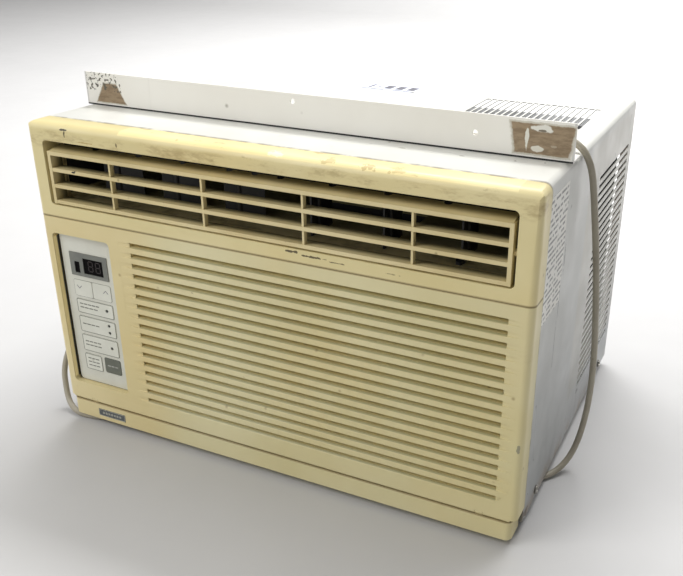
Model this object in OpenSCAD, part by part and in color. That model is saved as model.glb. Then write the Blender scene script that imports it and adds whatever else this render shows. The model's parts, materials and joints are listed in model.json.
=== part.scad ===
// Window air conditioner: steel wrap-around cabinet on a base pan, moulded
// front with a tilting intake panel, a swinging discharge louver, two banks of
// side-to-side vanes, a membrane control panel and the full cooling circuit.
// X runs to the viewer's right, Y to the back, Z up; the unit stands on Z = 0.

/* [Overall] */
// Width across the moulded front
front_w = 464; // [434:1:560]
// Height of the cabinet top above the standing surface
body_h = 302; // [290:1:364]
// Depth from the front face to the rear edge of the cabinet
body_d = 347; // [335:1:418]
// Height of the feet under the base pan
foot_h = 10; // [9:0.5:14]
// Thickness of the cabinet sheet
sheet_t = 1; // [0.8:0.1:1.4]

/* [Moulded front] */
// Depth of the moulded front ahead of the cabinet
bezel_d = 22.5; // [21:0.5:27]
// How far the moulded front stands out past each cabinet side
bezel_lip = 1; // [0.5:0.5:3]
// Wall of the front mouldings
wall_t = 2.6; // [2:0.1:3.2]
// Radius of the front's top edge
top_r = 9; // [5:0.5:12]
// Radius of the front's side edges
side_r = 6; // [3:0.5:8]
// Height of the upper section that holds the air outlet
band_h = 85.5; // [80:0.5:96]
// Underside of the bottom strip above the standing surface
strip_z = 7; // [6.5:0.5:9]
// Height of the bottom strip
strip_h = 17.5; // [15:0.5:21]
// How far the bottom strip's ends stand in from the front's sides
strip_in = 4; // [1:0.5:6]
// Gap between the intake panel and the mouldings around it
panel_gap = 0.4; // [0.3:0.1:1]
// Radius of the hinge barrel along the panel's lower edge
barrel_r = 2.5; // [2.3:0.1:3]
// Hinge pin radius of the intake panel
panel_pin_r = 1; // [0.8:0.1:1.2]

/* [Intake grille] */
// Height of one intake slot
slot_h = 4; // [3:0.2:5]
// Height of the lit ramp along the lower edge of each slot
slot_ramp = 1.3; // [0.6:0.1:2]
// Depth of the flutes that run on past the ends of the slots
flute_depth = 1.2; // [0.6:0.1:1.6]
// Length over which a flute fades out
flute_run = 11.5; // [6:0.5:12]
// Distance from one intake slot to the next
slot_pitch = 9.8; // [8.2:0.1:12]
// Depth of the bars between the slots
bar_d = 9; // [6:0.5:9.5]
// Solid margin at the right of the slots
grille_margin_r = 19; // [12:1:28]
// Solid margin between the control recess and the slots
grille_margin_l = 23.5; // [16:0.5:30]

/* [Air outlet] */
// Width of the air outlet
outlet_w = 431.4; // [380:0.2:434]
// Height of the air outlet
outlet_h = 58.6; // [52:0.2:64]
// Distance from the cabinet top down to the outlet
outlet_drop = 15.6; // [14:0.2:18]
// Number of blades in the swinging louver
blade_n = 4; // [3:1:5]
// Depth of each louver blade
blade_d = 13; // [10:0.5:15]
// Thickness of each louver blade
blade_t = 2.4; // [1.6:0.2:3]
// Louver pivot pin radius
louver_pin_r = 2; // [1.5:0.1:2.6]
// Radial clearance of running pins
pin_fit = 0.06; // [0.03:0.01:0.1]
// Distance from one vertical vane to the next
vane_pitch = 65; // [48:1:68]
// Front-to-back length of a vertical vane
vane_chord = 34; // [26:1:38]

/* [Controls] */
// Width of the control recess
ctl_w = 65.5; // [62:0.5:76]
// Height of the control recess
ctl_h = 155; // [152:0.5:158]
// Solid margin at the left of the control recess
ctl_margin = 10.5; // [9:0.5:16]
// How far the control plate sits back from the face
ctl_depth = 5.5; // [4:0.5:7]
// Gap between the control plate and the recess wall at its left
plate_gap_l = 2.8; // [1:0.2:4]
// Travel of a key
key_travel = 0.5; // [0.3:0.1:0.8]
// Gap around each key
key_gap = 0.3; // [0.2:0.05:0.5]

/* [Rail and vents] */
// Height of the sash rail above the cabinet
rail_h = 30; // [22:1:38]
// Distance from the front face to the sash rail
rail_y = 78; // [60:1:90]
// Thickness of the rail steel
rail_t = 1.6; // [1.2:0.2:2.4]
// Width of one slot of the top vent
vent_w = 4.3; // [2.6:0.1:4.6]
// Number of slots of the top vent
vent_n = 19; // [12:1:20]
// Height of one side louver
side_slot_h = 4.2; // [3:0.2:5]
// Distance from one side louver to the next
side_pitch = 7.7; // [7:0.1:10]

/* [Air moving] */
// Radius of the blower wheel
blower_r = 66; // [54:1:70]
// Depth of the blower wheel
blower_l = 38; // [32:1:42]
// Radius of the outdoor fan
fan_r = 104; // [88:1:106]
// Radius of the motor shaft
shaft_r = 4; // [3:0.5:5]
// Radius of the fan motor
motor_r = 44; // [38:1:48]
// Radius of the compressor shell
comp_r = 58; // [50:1:60]

/* [Power cord] */
// Diameter of the power cord
cord_d = 5.6; // [5.2:0.1:6.8]

/* [Hidden] */
$fn = 48;

// overall derived sizes (Y is measured from the front face)
cab_w = front_w - 2*bezel_lip;
hx = cab_w/2;                       // cabinet half width
hi = hx - sheet_t;                  // inside half width
fx = front_w/2;                     // front half width
pan_t = 1.2;
pan_z = foot_h + pan_t;             // top of the pan floor
skirt_z = foot_h + 1;               // lower edge of the cabinet
part_z1 = body_h - band_h;          // upper parting line
part_z0 = strip_z + strip_h;        // lower parting line
panel_z0 = part_z0 + panel_gap;
panel_z1 = part_z1 - panel_gap;
out_z1 = body_h - outlet_drop;
out_z0 = out_z1 - outlet_h;
ox = outlet_w/2;

// hinge of the intake panel
hinge_y = barrel_r;
hinge_z = panel_z0 + barrel_r;
knuckle_w = 6;
knuckle_x = fx - 32;

// control recess and what lines up with it
rec_x0 = -fx + ctl_margin;
rec_x1 = rec_x0 + ctl_w;
rec_z0 = panel_z0 + 20.1;
rec_z1 = rec_z0 + ctl_h;
key_x0 = rec_x0 + 12.5;
key_w = ctl_w - 22.3;

// intake grille
gr_x0 = rec_x1 + grille_margin_l;
gr_x1 = fx - grille_margin_r;
gr_top = panel_z1 - 11.6;           // top of the highest slot
gr_n = floor((gr_top - panel_z0 - 9 - slot_h)/slot_pitch) + 1;
gr_bot = gr_top - (gr_n - 1)*slot_pitch - slot_h;

// louver frame and vanes
lv_x0 = -ox + 3.2;
lv_x1 = ox - 3.2;
lv_y = blade_d/2 + 0.6;
lv_z = (out_z0 + out_z1)/2 - 3.4;
lv_pitch = 14.7;
duct_t = 2;
duct_y0 = bezel_d + 2;
vane_y = duct_y0 + 17;
vane_top = out_z1 - 1;
vane_bot = out_z0 + 1;
vane_pin_r = 1.5;
left_turn = 62;                     // rest angle of the left bank
tie_arm = 15;
tie_z = out_z0 + 44;

// cooling parts
box_x1 = rec_x1 + 3;                // right wall of the control box
evap_x0 = box_x1 + 26;
evap_x1 = hi - 30;
evap_y0 = bezel_d + 10;
evap_d = 32;
evap_z0 = pan_z + 18;
evap_z1 = out_z0 - duct_t - 9;
evap_p = (evap_z1 - evap_z0)/8;     // spacing of the coil's tubes
fan_x = 60;
fan_z = foot_h + fan_r + 12;
scr_y0 = evap_y0 + evap_d + 12;
scr_y1 = scr_y0 + blower_l + 10;
bulk_y = scr_y1 + 2;
motor_y0 = bulk_y + 12;
motor_l = 62;
fan_y = motor_y0 + motor_l + 14;
fan_l = 30;
cond_d = 36;
cond_y1 = body_d - 14;
cond_y0 = cond_y1 - cond_d;
shroud_y = cond_y0 - 14;
cond_x0 = fan_x - fan_r - 30;
cond_x1 = hi - 8;
coil_in = 24;                       // room for the return bends at the right
shroud_x1 = hx - 4;
cond_z0 = pan_z + 2;
cond_z1 = body_h - 22;
cond_p = (cond_z1 - cond_z0)/10;
comp_x = -hi + comp_r + 22;
comp_y = body_d - 112;
comp_z0 = pan_z + 22;
stud_r = 72;
stud_a = [90, 210, 330];

// side bank and top vent
bank_y0 = body_d - 150;
bank_y1 = body_d - 17;
bank_z1 = body_h - 31;
bank_z0 = foot_h + 38;
bank_n = floor((bank_z1 - bank_z0)/side_pitch);
vent_x1 = hx - 21;
vent_x0 = hx - 134;
vent_y0 = body_d - 158;
vent_y1 = body_d - 70;

// power cord: hand-set points, Y from the front face
cord_pts = [
  [-148, 12, 15], [-158, 12, 15], [-170, 11, 13], [-184, 9, 8.5],
  [-198, 7, 4.5], [-212, 5, 2.9], [-225, 4, 2.9], [-237, 6, 4.5],
  [-247.5, 11, 10.5], [-254, 16, 21.5], [-258, 21, 36], [-258, 29, 53],
  [-253, 45, 78], [-244.5, 68, 115], [-238.5, 90, 160], [-236.5, 104, 205],
  [-238, 111, 245], [-240.5, 112, 268], [-241, 112, 284], [-238, 112, 296],
  [-231, 112, 306], [-221, 112, 312], [-209, 112, 313.5], [-195, 112, 310.5],
  [-178, 112, 306.4], [-150, 112, 305], [-80, 112, 304.9], [0, 112, 304.9],
  [80, 112, 304.9], [150, 112, 305], [178, 112, 306.4], [195, 112, 310.3],
  [209, 112, 313], [220, 112.5, 311.2], [230, 113, 305], [236, 114, 295.8],
  [239.5, 116, 284], [242, 119, 266], [244.5, 122, 244], [247.5, 126, 215],
  [251, 130, 174], [254, 135, 124], [254, 139, 78], [251, 139, 42],
  [246, 131, 18], [238, 116, 6.2], [226, 100, 3.2], [208, 88, 2.9],
  [180, 85, 2.9], [140, 100, 2.9], [100, 130, 2.9], [60, 170, 2.9],
  [25, 215, 2.9], [0, 260, 2.9], [-15, 310, 2.9], [-20, 350, 2.9],
  [-20, 375, 4.7], [-20, 395, 9]];

// ---------- helpers ----------
module place() translate([0, -body_d/2, 0]) children();
module along_y(a, b) translate([0, b, 0]) rotate([90, 0, 0]) linear_extrude(b - a) children();
module along_x(a, b) translate([a, 0, 0]) rotate([90, 0, 90]) linear_extrude(b - a) children();
module box(a, b) translate(a) cube(b - a);
module ycyl(x, z, r, a, b) translate([x, b, z]) rotate([90, 0, 0]) cylinder(r = r, h = b - a);
module xcyl(y, z, r, a, b) translate([a, y, z]) rotate([0, 90, 0]) cylinder(r = r, h = b - a);
module zcyl(x, y, r, a, b) translate([x, y, a]) cylinder(r = r, h = b - a);
// rectangle with round corners, from a to b
module rrect(a, b, r) {
  translate([a[0] + r, a[1]]) square([b[0] - a[0] - 2*r, b[1] - a[1]]);
  translate([a[0], a[1] + r]) square([b[0] - a[0], b[1] - a[1] - 2*r]);
  for (x = [a[0] + r, b[0] - r], y = [a[1] + r, b[1] - r]) translate([x, y]) circle(r);
}
// plan of a front moulding: round front corners, square at the back
module front_plan(h, d, r) {
  translate([-h, r]) square([2*h, d - r]);
  translate([-h + r, 0]) square([2*h - 2*r, d]);
  for (s = [-1, 1]) translate([s*(h - r), r]) circle(r);
}
function unit(v) = v/norm(v);
function tang(p, i) = unit(p[min(i + 1, len(p) - 1)] - p[max(i - 1, 0)]);
function frames(p, i = 0, n = [0, 0.02, 1], acc = []) = i == len(p) ? acc :
  let (t = tang(p, i), u = unit(n - (n*t)*t)) frames(p, i + 1, u, concat(acc, [[u, cross(t, u)]]));
function cat(a, b, c, d, t) = 0.5*((2*b) + (c - a)*t + (2*a - 5*b + 4*c - d)*t*t + (3*b - a - 3*c + d)*t*t*t);
function smooth(p, s) = concat([for (i = [0:len(p) - 2], k = [0:s - 1])
  cat(p[max(i - 1, 0)], p[i], p[i + 1], p[min(i + 2, len(p) - 1)], k/s)], [p[len(p) - 1]]);
// one closed tube along the points
module sweep(p, r, n = 8) {
  f = frames(p);
  m = len(p);
  polyhedron(
    [for (i = [0:m - 1], k = [0:n - 1]) p[i] + r*(cos(360*k/n)*f[i][0] + sin(360*k/n)*f[i][1])],
    concat([[for (k = [0:n - 1]) n - 1 - k]], [[for (k = [0:n - 1]) (m - 1)*n + k]],
      [for (i = [0:m - 2], k = [0:n - 1]) let (a = i*n + k, b = i*n + (k + 1)%n) each [[a, b, b + n], [a, b + n, a + n]]]));
}

// ---------- chassis ----------
cs_y = [60, body_d - 40];           // cabinet screws
module base_pan() color("lightgray") place() difference() {
  union() {
    box([-hi, bezel_d + 1.5, foot_h], [hi, body_d - 1, pan_z]);
    difference() {
      box([-hi, bezel_d + 1.5, foot_h], [hi, body_d - 1, foot_h + 18]);
      box([-hi + pan_t, bezel_d + 1.5 + pan_t, foot_h - 1], [hi - pan_t, body_d - 1 - pan_t, foot_h + 19]);
    }
    for (x = [-1, 1], y = [bezel_d + 24, body_d - 27]) zcyl(x*(hi - 26), y, 12, 0, foot_h + 0.5);
    for (a = stud_a) zcyl(comp_x + stud_r*cos(a), comp_y + stud_r*sin(a), 3, pan_z - 0.5, comp_z0 + 14);
  }
  zcyl(hi - 60, body_d - 24, 6, foot_h - 1, pan_z + 1);
  for (s = [-1, 1], y = cs_y) xcyl(y, foot_h + 9, 2, s < 0 ? -hi - 1 : hi - 3, s < 0 ? -hi + 3 : hi + 1);
}
module cabinet_profile(h, top, r) {
  translate([-h, skirt_z]) square([2*h, top - skirt_z - r]);
  translate([-h + r, skirt_z]) square([2*h - 2*r, top - skirt_z]);
  for (s = [-1, 1]) translate([s*(h - r), top - r]) circle(r);
}
rs_x = [-hx + 50, 0, hx - 50];      // rail screws
module cabinet() color("gainsboro") place() {
  difference() {
    along_y(bezel_d, body_d) difference() {
      cabinet_profile(hx, body_h, 6);
      translate([0, -1]) cabinet_profile(hi, body_h - sheet_t + 1, 5);
    }
    // top vent
    for (i = [0:vent_n - 1]) let (x = vent_x0 + (vent_x1 - vent_x0 - vent_w)*i/(vent_n - 1))
      box([x, vent_y0, body_h - 3], [x + vent_w, vent_y1, body_h + 1]);
    // side banks
    along_y(bank_y0, bank_y1) for (s = [-1, 1], i = [0:bank_n - 1])
      translate([s < 0 ? -hx - 1 : hx - 3, bank_z0 + i*side_pitch]) square([4, side_slot_h]);
    for (x = rs_x) zcyl(x, rail_y + 13, 2, body_h - 3, body_h + 1);
    for (s = [-1, 1], y = cs_y) xcyl(y, foot_h + 9, 2, s < 0 ? -hx - 1 : hx - 3, s < 0 ? -hx + 3 : hx + 1);
  }
  // pressed-in louver flaps of the side banks
  along_y(bank_y0, bank_y1) for (s = [-1, 1], i = [0:bank_n - 1]) let (z = bank_z0 + i*side_pitch + side_slot_h)
    polygon([[s*hx, z], [s*hx, z + 0.9], [s*(hx - 3.4), z - 1.9], [s*(hx - 3.4), z - 2.8]]);
  // rear lips that frame the outdoor coil
  for (s = [-1, 1]) box([s < 0 ? -hi : hi - 9, body_d - sheet_t, foot_h + 19], [s < 0 ? -hi + 9 : hi, body_d, body_h - 3]);
}
module top_rail() color("whitesmoke") place() difference() {
  along_x(-hx - 1, hx + 1) union() {
    translate([rail_y, body_h]) square([rail_t, rail_h]);
    translate([rail_y, body_h]) square([22, rail_t]);
  }
  ycyl(-8, body_h + rail_h*0.78, 2.2, rail_y - 1, rail_y + 3);
  ycyl(154, body_h + rail_h*0.5, 2.2, rail_y - 1, rail_y + 3);
  for (x = rs_x) zcyl(x, rail_y + 13, 2, body_h - 1, body_h + 3);
}
module rail_screws() color("silver") place() for (x = rs_x) {
  zcyl(x, rail_y + 13, 4, body_h + rail_t, body_h + rail_t + 2.4);
  zcyl(x, rail_y + 13, 1.9, body_h - 7, body_h + rail_t + 1);
}
module cabinet_screws() color("silver") place() for (s = [-1, 1], y = cs_y) {
  xcyl(y, foot_h + 9, 4, s < 0 ? -hx - 2 : hx, s < 0 ? -hx : hx + 2);
  xcyl(y, foot_h + 9, 1.9, s < 0 ? -hx - 1 : hi - pan_t - 0.6, s < 0 ? -hi + pan_t + 0.6 : hx + 1);
}

// ---------- moulded front ----------
module side_round(z0, z1, h, d, r) translate([0, 0, z0]) linear_extrude(z1 - z0) front_plan(h, d, r);
module front_frame() color("wheat") place() difference() {
  union() {
    // upper section, hollow from the back
    difference() {
      intersection() {
        side_round(part_z1, body_h, fx, bezel_d, side_r);
        along_x(-fx - 1, fx + 1) union() {
          translate([top_r, part_z1 - 1]) square([bezel_d, body_h - part_z1 + 1]);
          translate([0, part_z1 - 1]) square([bezel_d, body_h - part_z1 + 1 - top_r]);
          translate([top_r, body_h - top_r]) circle(top_r);
        }
        along_y(-1, bezel_d + 1) rrect([-fx, part_z1 - 9], [fx, body_h], 7);
      }
      intersection() {
        translate([0, wall_t, 0]) side_round(part_z1 + wall_t, body_h - wall_t, fx - wall_t, bezel_d, side_r - wall_t + 0.4);
        along_x(-fx, fx) union() {
          translate([top_r, part_z1]) square([bezel_d, body_h - part_z1 - wall_t]);
          translate([wall_t, part_z1]) square([bezel_d, body_h - part_z1 - top_r]);
          translate([top_r, body_h - top_r]) circle(top_r - wall_t);
        }
      }
    }
    // throat of the air outlet
    along_y(1, duct_y0) rrect([-ox - 2, out_z0 - 2], [ox + 2, out_z1 + 2], 5);
    // bottom strip
    difference() {
      side_round(strip_z, part_z0, fx - strip_in, bezel_d, side_r);
      box([-fx + strip_in + wall_t, wall_t, strip_z + wall_t], [fx - strip_in - wall_t, bezel_d + 1, part_z0 - wall_t]);
    }
    // columns behind the intake panel and lugs to the cabinet
    for (s = [-1, 1]) box([s < 0 ? -fx + wall_t + 0.5 : hx - 9, 17, part_z0 - 1], [s < 0 ? -hx + 9 : fx - wall_t - 0.5, bezel_d, part_z1 + wall_t]);
    // hinge knuckles with their pins
    for (s = [-1, 1]) {
      xcyl(hinge_y, hinge_z, barrel_r, s*knuckle_x - knuckle_w/2, s*knuckle_x + knuckle_w/2);
      box([s*knuckle_x - knuckle_w/2, hinge_y - 1.3, part_z0 - 0.5], [s*knuckle_x + knuckle_w/2, hinge_y + 1.3, hinge_z]);
      xcyl(hinge_y, hinge_z, panel_pin_r, s*knuckle_x - knuckle_w/2 - 4, s*knuckle_x + knuckle_w/2 + 4);
    }
  }
  along_y(-1, duct_y0 + 1) rrect([-ox, out_z0], [ox, out_z1], 4);
  // pivot holes of the louver
  for (s = [-1, 1]) xcyl(lv_y, lv_z, louver_pin_r + pin_fit, s < 0 ? -ox - 4 : ox - 1, s < 0 ? -ox + 1 : ox + 4);
  // slot in the strip's underside where the cord leaves
  box([-206, 3.5, strip_z - 1], [-152, 17.5, strip_z + wall_t + 1]);
  // pocket of the badge
  box([-fx + 35, -1, strip_z + 4], [-fx + 68, 0.8, strip_z + 12]);
}
module nameplate() color("slategray") place()
  box([-fx + 35.2, 0, strip_z + 4.2], [-fx + 67.8, 0.8, strip_z + 11.8]);

module front_panel() color("wheat") place() {
  // sloped left wall of the control recess
  translate([0, 0, rec_z0 + 4]) linear_extrude(rec_z1 - rec_z0 - 8)
    polygon([[rec_x0 - 1.2, 0.9], [rec_x0, 0.9], [rec_x0 + plate_gap_l - 1.2, ctl_depth - 0.4], [rec_x0 + plate_gap_l - 1.2, ctl_depth], [rec_x0 - 1.2, ctl_depth]]);
  difference() {
    intersection() {
      union() {
        difference() {
          side_round(panel_z0 + barrel_r, panel_z1, fx, bezel_d, side_r);
          box([-fx + wall_t, wall_t, panel_z0], [fx - wall_t, bezel_d + 1, panel_z1 - wall_t]);
        }
        // deep bars of the grille zone
        box([gr_x0 - 5, 1, gr_bot - 3], [gr_x1 + 5, bar_d, gr_top + 3]);
        // walls of the control recess
        along_y(1, ctl_depth + 0.8) rrect([rec_x0 - 2, rec_z0 - 2], [rec_x1 + 2, rec_z1 + 2], 5);
        // hinge barrel
        xcyl(hinge_y, hinge_z, barrel_r, -fx + side_r, fx - side_r);
      }
      xcyl(hinge_y, hinge_z, panel_z1 - hinge_z + 0.1, -fx - 1, fx + 1, $fn = 200);
    }
    along_y(-1, ctl_depth + 2) rrect([rec_x0, rec_z0], [rec_x1, rec_z1], 4);
    // through slots
    along_x(gr_x0, gr_x1) for (i = [0:gr_n - 1]) let (z = gr_top - i*slot_pitch)
      polygon([[-1, z - slot_h - slot_ramp], [0, z - slot_h - slot_ramp], [1.8, z - slot_h], [bar_d + 1, z - slot_h], [bar_d + 1, z], [-1, z]]);
    // the flutes that run on past both ends turn out of the face, so that they fade to nothing
    for (s = [-1, 1]) translate([s < 0 ? gr_x0 : gr_x1, 0, 0]) rotate([0, 0, -s*atan(flute_depth/flute_run)])
      along_x(s < 0 ? -flute_run - 4 : -0.5, s < 0 ? 0.5 : flute_run + 4) for (i = [0:gr_n - 1]) let (z = gr_top - i*slot_pitch)
        polygon([[-2, z - slot_h - slot_ramp + 0.35], [0, z - slot_h - slot_ramp + 0.35], [flute_depth, z - slot_h - 0.3],
          [flute_depth, z - 0.9], [0, z - 0.4], [-2, z - 0.4]]);
    // room for the columns of the frame
    box([-hx, 16.6, panel_z1 - wall_t - 1], [hx, bezel_d + 1, panel_z1 + 1]);
    // notches and bores for the knuckles
    for (s = [-1, 1]) {
      xcyl(hinge_y, hinge_z, barrel_r + 0.4, s*knuckle_x - knuckle_w/2 - 0.3, s*knuckle_x + knuckle_w/2 + 0.3);
      xcyl(hinge_y, hinge_z, panel_pin_r + pin_fit, s*knuckle_x - knuckle_w/2 - 5, s*knuckle_x + knuckle_w/2 + 5);
    }
  }
}
flt_y = bar_d + 0.4;
module air_filter() color("dimgray") place() {
  box([gr_x0 - 4, flt_y + 1, gr_bot - 2], [gr_x1 + 4, flt_y + 2, gr_top + 2]);
  difference() {
    box([gr_x0 - 5, flt_y, gr_bot - 3], [gr_x1 + 5, flt_y + 3, gr_top + 3]);
    box([gr_x0 + 1, flt_y - 1, gr_bot + 3], [gr_x1 - 1, flt_y + 4, gr_top - 3]);
  }
  for (k = [1, 2, 3]) let (x = gr_x0 + (gr_x1 - gr_x0)*k/4)
    box([x - 1.5, flt_y, gr_bot], [x + 1.5, flt_y + 3, gr_top]);
}

// ---------- controls ----------
// each key: x0, z0, x1, z1 measured from the recess's lower left corner
kx = key_x0 - rec_x0;
K_DOWN = [kx, 92.8, kx + key_w/2 - 0.4, 109];
K_UP = [kx + key_w/2 + 0.4, 92.8, kx + key_w, 109];
K_ECO = [kx, 75, kx + key_w, 89.5];
K_MODE = [kx, 55, kx + key_w, 71.6];
K_TIMER = [kx, 34.3, kx + key_w, 51.8];
K_FAN = [kx, 14, kx + key_w*0.47, 31];
K_POWER = [kx + key_w*0.55, 15, kx + key_w, 31];
LED = [[48, 82.5], [48, 67], [48, 59.6], [48, 43]];
plate_y1 = ctl_depth + 2.4;
module key_outline(k, g = 0, r = 1.8) translate([rec_x0, rec_z0])
  rrect([k[0] - g, k[1] - g], [k[2] + g, k[3] + g], r + g);
D_FRAME = [kx - 0.6, 113.8, kx + key_w, 137];
D_SMALL = [kx + 4.4, 116.8, kx + 10.4, 128];
D_BIG = [kx + 14.8, 117, kx + key_w - 5.4, 132.4];
module d_rect(k, g = 0) translate([rec_x0 + k[0] - g, rec_z0 + k[1] - g]) square([k[2] - k[0] + 2*g, k[3] - k[1] + 2*g]);
module control_panel() color("lightgray") place() {
  along_y(ctl_depth, plate_y1) difference() {
    rrect([rec_x0 + plate_gap_l, rec_z0 + 0.8], [rec_x1 - 0.6, rec_z1 - 0.6], 3.6);
    for (k = [K_DOWN, K_UP, K_ECO, K_MODE, K_TIMER, K_FAN, K_POWER]) key_outline(k, key_gap);
    d_rect(D_FRAME, -1.5);
  }
  // rear skirt that clips on the control box
  along_y(plate_y1, bezel_d + 3.5) difference() {
    rrect([rec_x0 + plate_gap_l, rec_z0 + 0.8], [rec_x1 - 0.6, rec_z1 - 0.6], 3.6);
    rrect([rec_x0 + plate_gap_l + 1.8, rec_z0 + 2.6], [rec_x1 - 2.4, rec_z1 - 2.4], 2);
  }
}
module display_bezel() color("dimgray") place() {
  along_y(ctl_depth - 0.7, ctl_depth) difference() {
    d_rect(D_FRAME); d_rect(D_SMALL); d_rect(D_BIG);
  }
  along_y(ctl_depth, plate_y1) difference() {
    d_rect(D_FRAME, -1.7); d_rect(D_SMALL); d_rect(D_BIG);
  }
}
module display_window() color([0.04, 0.03, 0.03]) place() {
  along_y(ctl_depth, plate_y1) { d_rect(D_SMALL, -0.1); d_rect(D_BIG, -0.1); }
  along_y(plate_y1, plate_y1 + 1.2) d_rect(D_FRAME, -1.7);
}
pcb_y = plate_y1 + 4.2;
module indicator_leds() color("darkgreen") place() for (p = LED) {
  ycyl(rec_x0 + p[0], rec_z0 + p[1], 1.2, ctl_depth - 0.1, pcb_y);
}
module circuit_board() color("darkolivegreen") place() {
  box([rec_x0 + plate_gap_l + 2.4, pcb_y, rec_z0 + 4], [rec_x1 - 3, pcb_y + 1.6, rec_z1 - 4]);
  for (k = [K_DOWN, K_UP, K_ECO, K_MODE, K_TIMER, K_FAN, K_POWER])
    let (x = rec_x0 + (k[0] + k[2])/2 - 4, z = rec_z0 + (k[1] + k[3])/2)
    box([x - 3, pcb_y - 1.4, z - 3], [x + 3, pcb_y, z + 3]);
  box([rec_x0 + 20, pcb_y + 1.6, rec_z0 + 40], [rec_x0 + 40, pcb_y + 6, rec_z0 + 70]);
}
module one_key(k) place() difference() {
  along_y(ctl_depth - 0.35, pcb_y - 1.4 - key_travel - 0.3) key_outline(k);
  for (p = LED) if (p[0] > k[0] && p[0] < k[2] && p[1] > k[1] && p[1] < k[3])
    ycyl(rec_x0 + p[0], rec_z0 + p[1], 1.6, 0, 20);
}
module key_temp_down() color("honeydew") one_key(K_DOWN);
module key_temp_up() color("honeydew") one_key(K_UP);
module key_energy_saver() color("honeydew") one_key(K_ECO);
module key_mode() color("honeydew") one_key(K_MODE);
module key_timer() color("honeydew") one_key(K_TIMER);
module key_fan_speed() color("honeydew") one_key(K_FAN);
module key_power() color("darkslategray") one_key(K_POWER);
box_y1 = bulk_y - 6;
module control_box() color("silver") place() difference() {
  box([-hi + pan_t + 1, bezel_d + 3.5, pan_z], [box_x1, box_y1, out_z0 - duct_t - 4]);
  box([-hi + pan_t + 2.2, bezel_d + 2, pan_z + 1.2], [box_x1 - 1.2, box_y1 - 1.2, out_z0 - duct_t - 5.2]);
  zcyl(-148 - 12, bezel_d + 12, 6, pan_z - 1, pan_z + 3);
}
module run_capacitor() color("silver") place() {
  zcyl(-hi + 34, bezel_d + 60, 20, pan_z + 1.2, pan_z + 76);
  for (s = [-1, 1]) box([-hi + 34 + s*7 - 0.4, bezel_d + 57, pan_z + 76], [-hi + 34 + s*7 + 0.4, bezel_d + 63, pan_z + 84]);
}

// ---------- outlet louver and vanes ----------
module louver_frame() color("wheat") place() {
  z_top = lv_z + (blade_n - 1)*lv_pitch/2;
  for (i = [1:blade_n - 1]) let (z = z_top - i*lv_pitch)
    along_x(lv_x0 + 1, lv_x1 - 1) polygon([[lv_y - blade_d/2 + 0.2, z - blade_t], [lv_y - blade_d/2 + 0.2, z + 0.9],
      [lv_y + blade_d/2, z + 0.3], [lv_y + blade_d/2, z - 1.2]]);
  // top visor, rising to the back, with half-round notches
  difference() {
    along_x(lv_x0 + 1, lv_x1 - 1) polygon([[lv_y - blade_d/2, z_top - blade_t], [lv_y - blade_d/2, z_top + 0.9],
      [lv_y + blade_d/2 + 2, z_top + 4.2], [lv_y + blade_d/2 + 2, z_top + 2.2]]);
    for (x = [-170, -123, -77, -31, -7, 17, 63, 110, 158]*(ox/215.7)) zcyl(x, lv_y + blade_d/2 + 2, 3.4, z_top - 2, z_top + 8);
  }
  for (k = [0:5]) let (f = [0, 0.1565, 0.3803, 0.6031, 0.8222, 1][k], x = lv_x0 + 1.6 + (lv_x1 - lv_x0 - 3.2)*f, t = (k == 0 || k == 5) ? 1.6 : 0.9)
    box([x - t, lv_y - blade_d/2 + (t > 1 ? 0 : 0.8), lv_z - (blade_n - 1)*lv_pitch/2 - blade_t], [x + t, t > 1 ? lv_y + blade_d/2 : lv_y - blade_d/2 + 5.5, z_top + 1]);
  xcyl(lv_y, lv_z, louver_pin_r, -ox - 1.8, lv_x0 + 1);
  xcyl(lv_y, lv_z, louver_pin_r, lv_x1 - 1, ox + 1.8);
  xcyl(lv_y, lv_z, 2.9, lv_x1 - 1, ox - 0.5);
}
// a vane turns about its own vertical pins; arm to the tie bar at the back
module vane(x, turn, lead) place() translate([x, vane_y, 0]) rotate([0, 0, turn]) {
  difference() {
    union() {
      box([-0.8, -vane_chord*0.36, vane_bot], [0.8, vane_chord*0.64, vane_top]);
      zcyl(0, 0, 2.4, vane_bot, vane_top);
    }
    box([-3, tie_arm - 7, tie_z - 2.6], [3, tie_arm + 7, tie_z + 2.6]);
  }
  zcyl(0, 0, vane_pin_r, out_z0 - duct_t + 0.3, out_z1 + duct_t - 0.3);
  zcyl(0, tie_arm, 1, tie_z - 3, tie_z + 3);
  if (lead) {
    translate([0, 0, vane_bot + 1]) linear_extrude(2.6) polygon([[-2.2, -4], [2.2, -4], [3.6, -15], [1.6, -20], [-1.6, -20], [-3.6, -15]]);
    zcyl(0, 0, 3, vane_bot, vane_bot + 5);
  }
}
vx0 = 35;                            // first vane of a bank from the middle
module left_vane_1() color("tan") vane(-vx0 - 7 - 2*vane_pitch, -left_turn, true);
module left_vane_2() color("tan") vane(-vx0 - 7 - vane_pitch, -left_turn, false);
module left_vane_3() color("tan") vane(-vx0 - 7, -left_turn, false);
module right_vane_1() color("tan") vane(vx0 + 2*vane_pitch, 0, true);
module right_vane_2() color("tan") vane(vx0 + vane_pitch, 0, false);
module right_vane_3() color("tan") vane(vx0, 0, false);
module tie_bar(x0, turn) place() translate([x0 - tie_arm*sin(turn), vane_y + tie_arm*cos(turn), tie_z]) difference() {
  box([-4, -2, -1.2], [2*vane_pitch + 4, 2, 1.2]);
  for (i = [0:2]) zcyl(i*vane_pitch, 0, 1 + pin_fit, -2, 2);
}
module left_tie_bar() color("tan") tie_bar(-vx0 - 7 - 2*vane_pitch, -left_turn);
module right_tie_bar() color("tan") tie_bar(vx0, 0);

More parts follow.
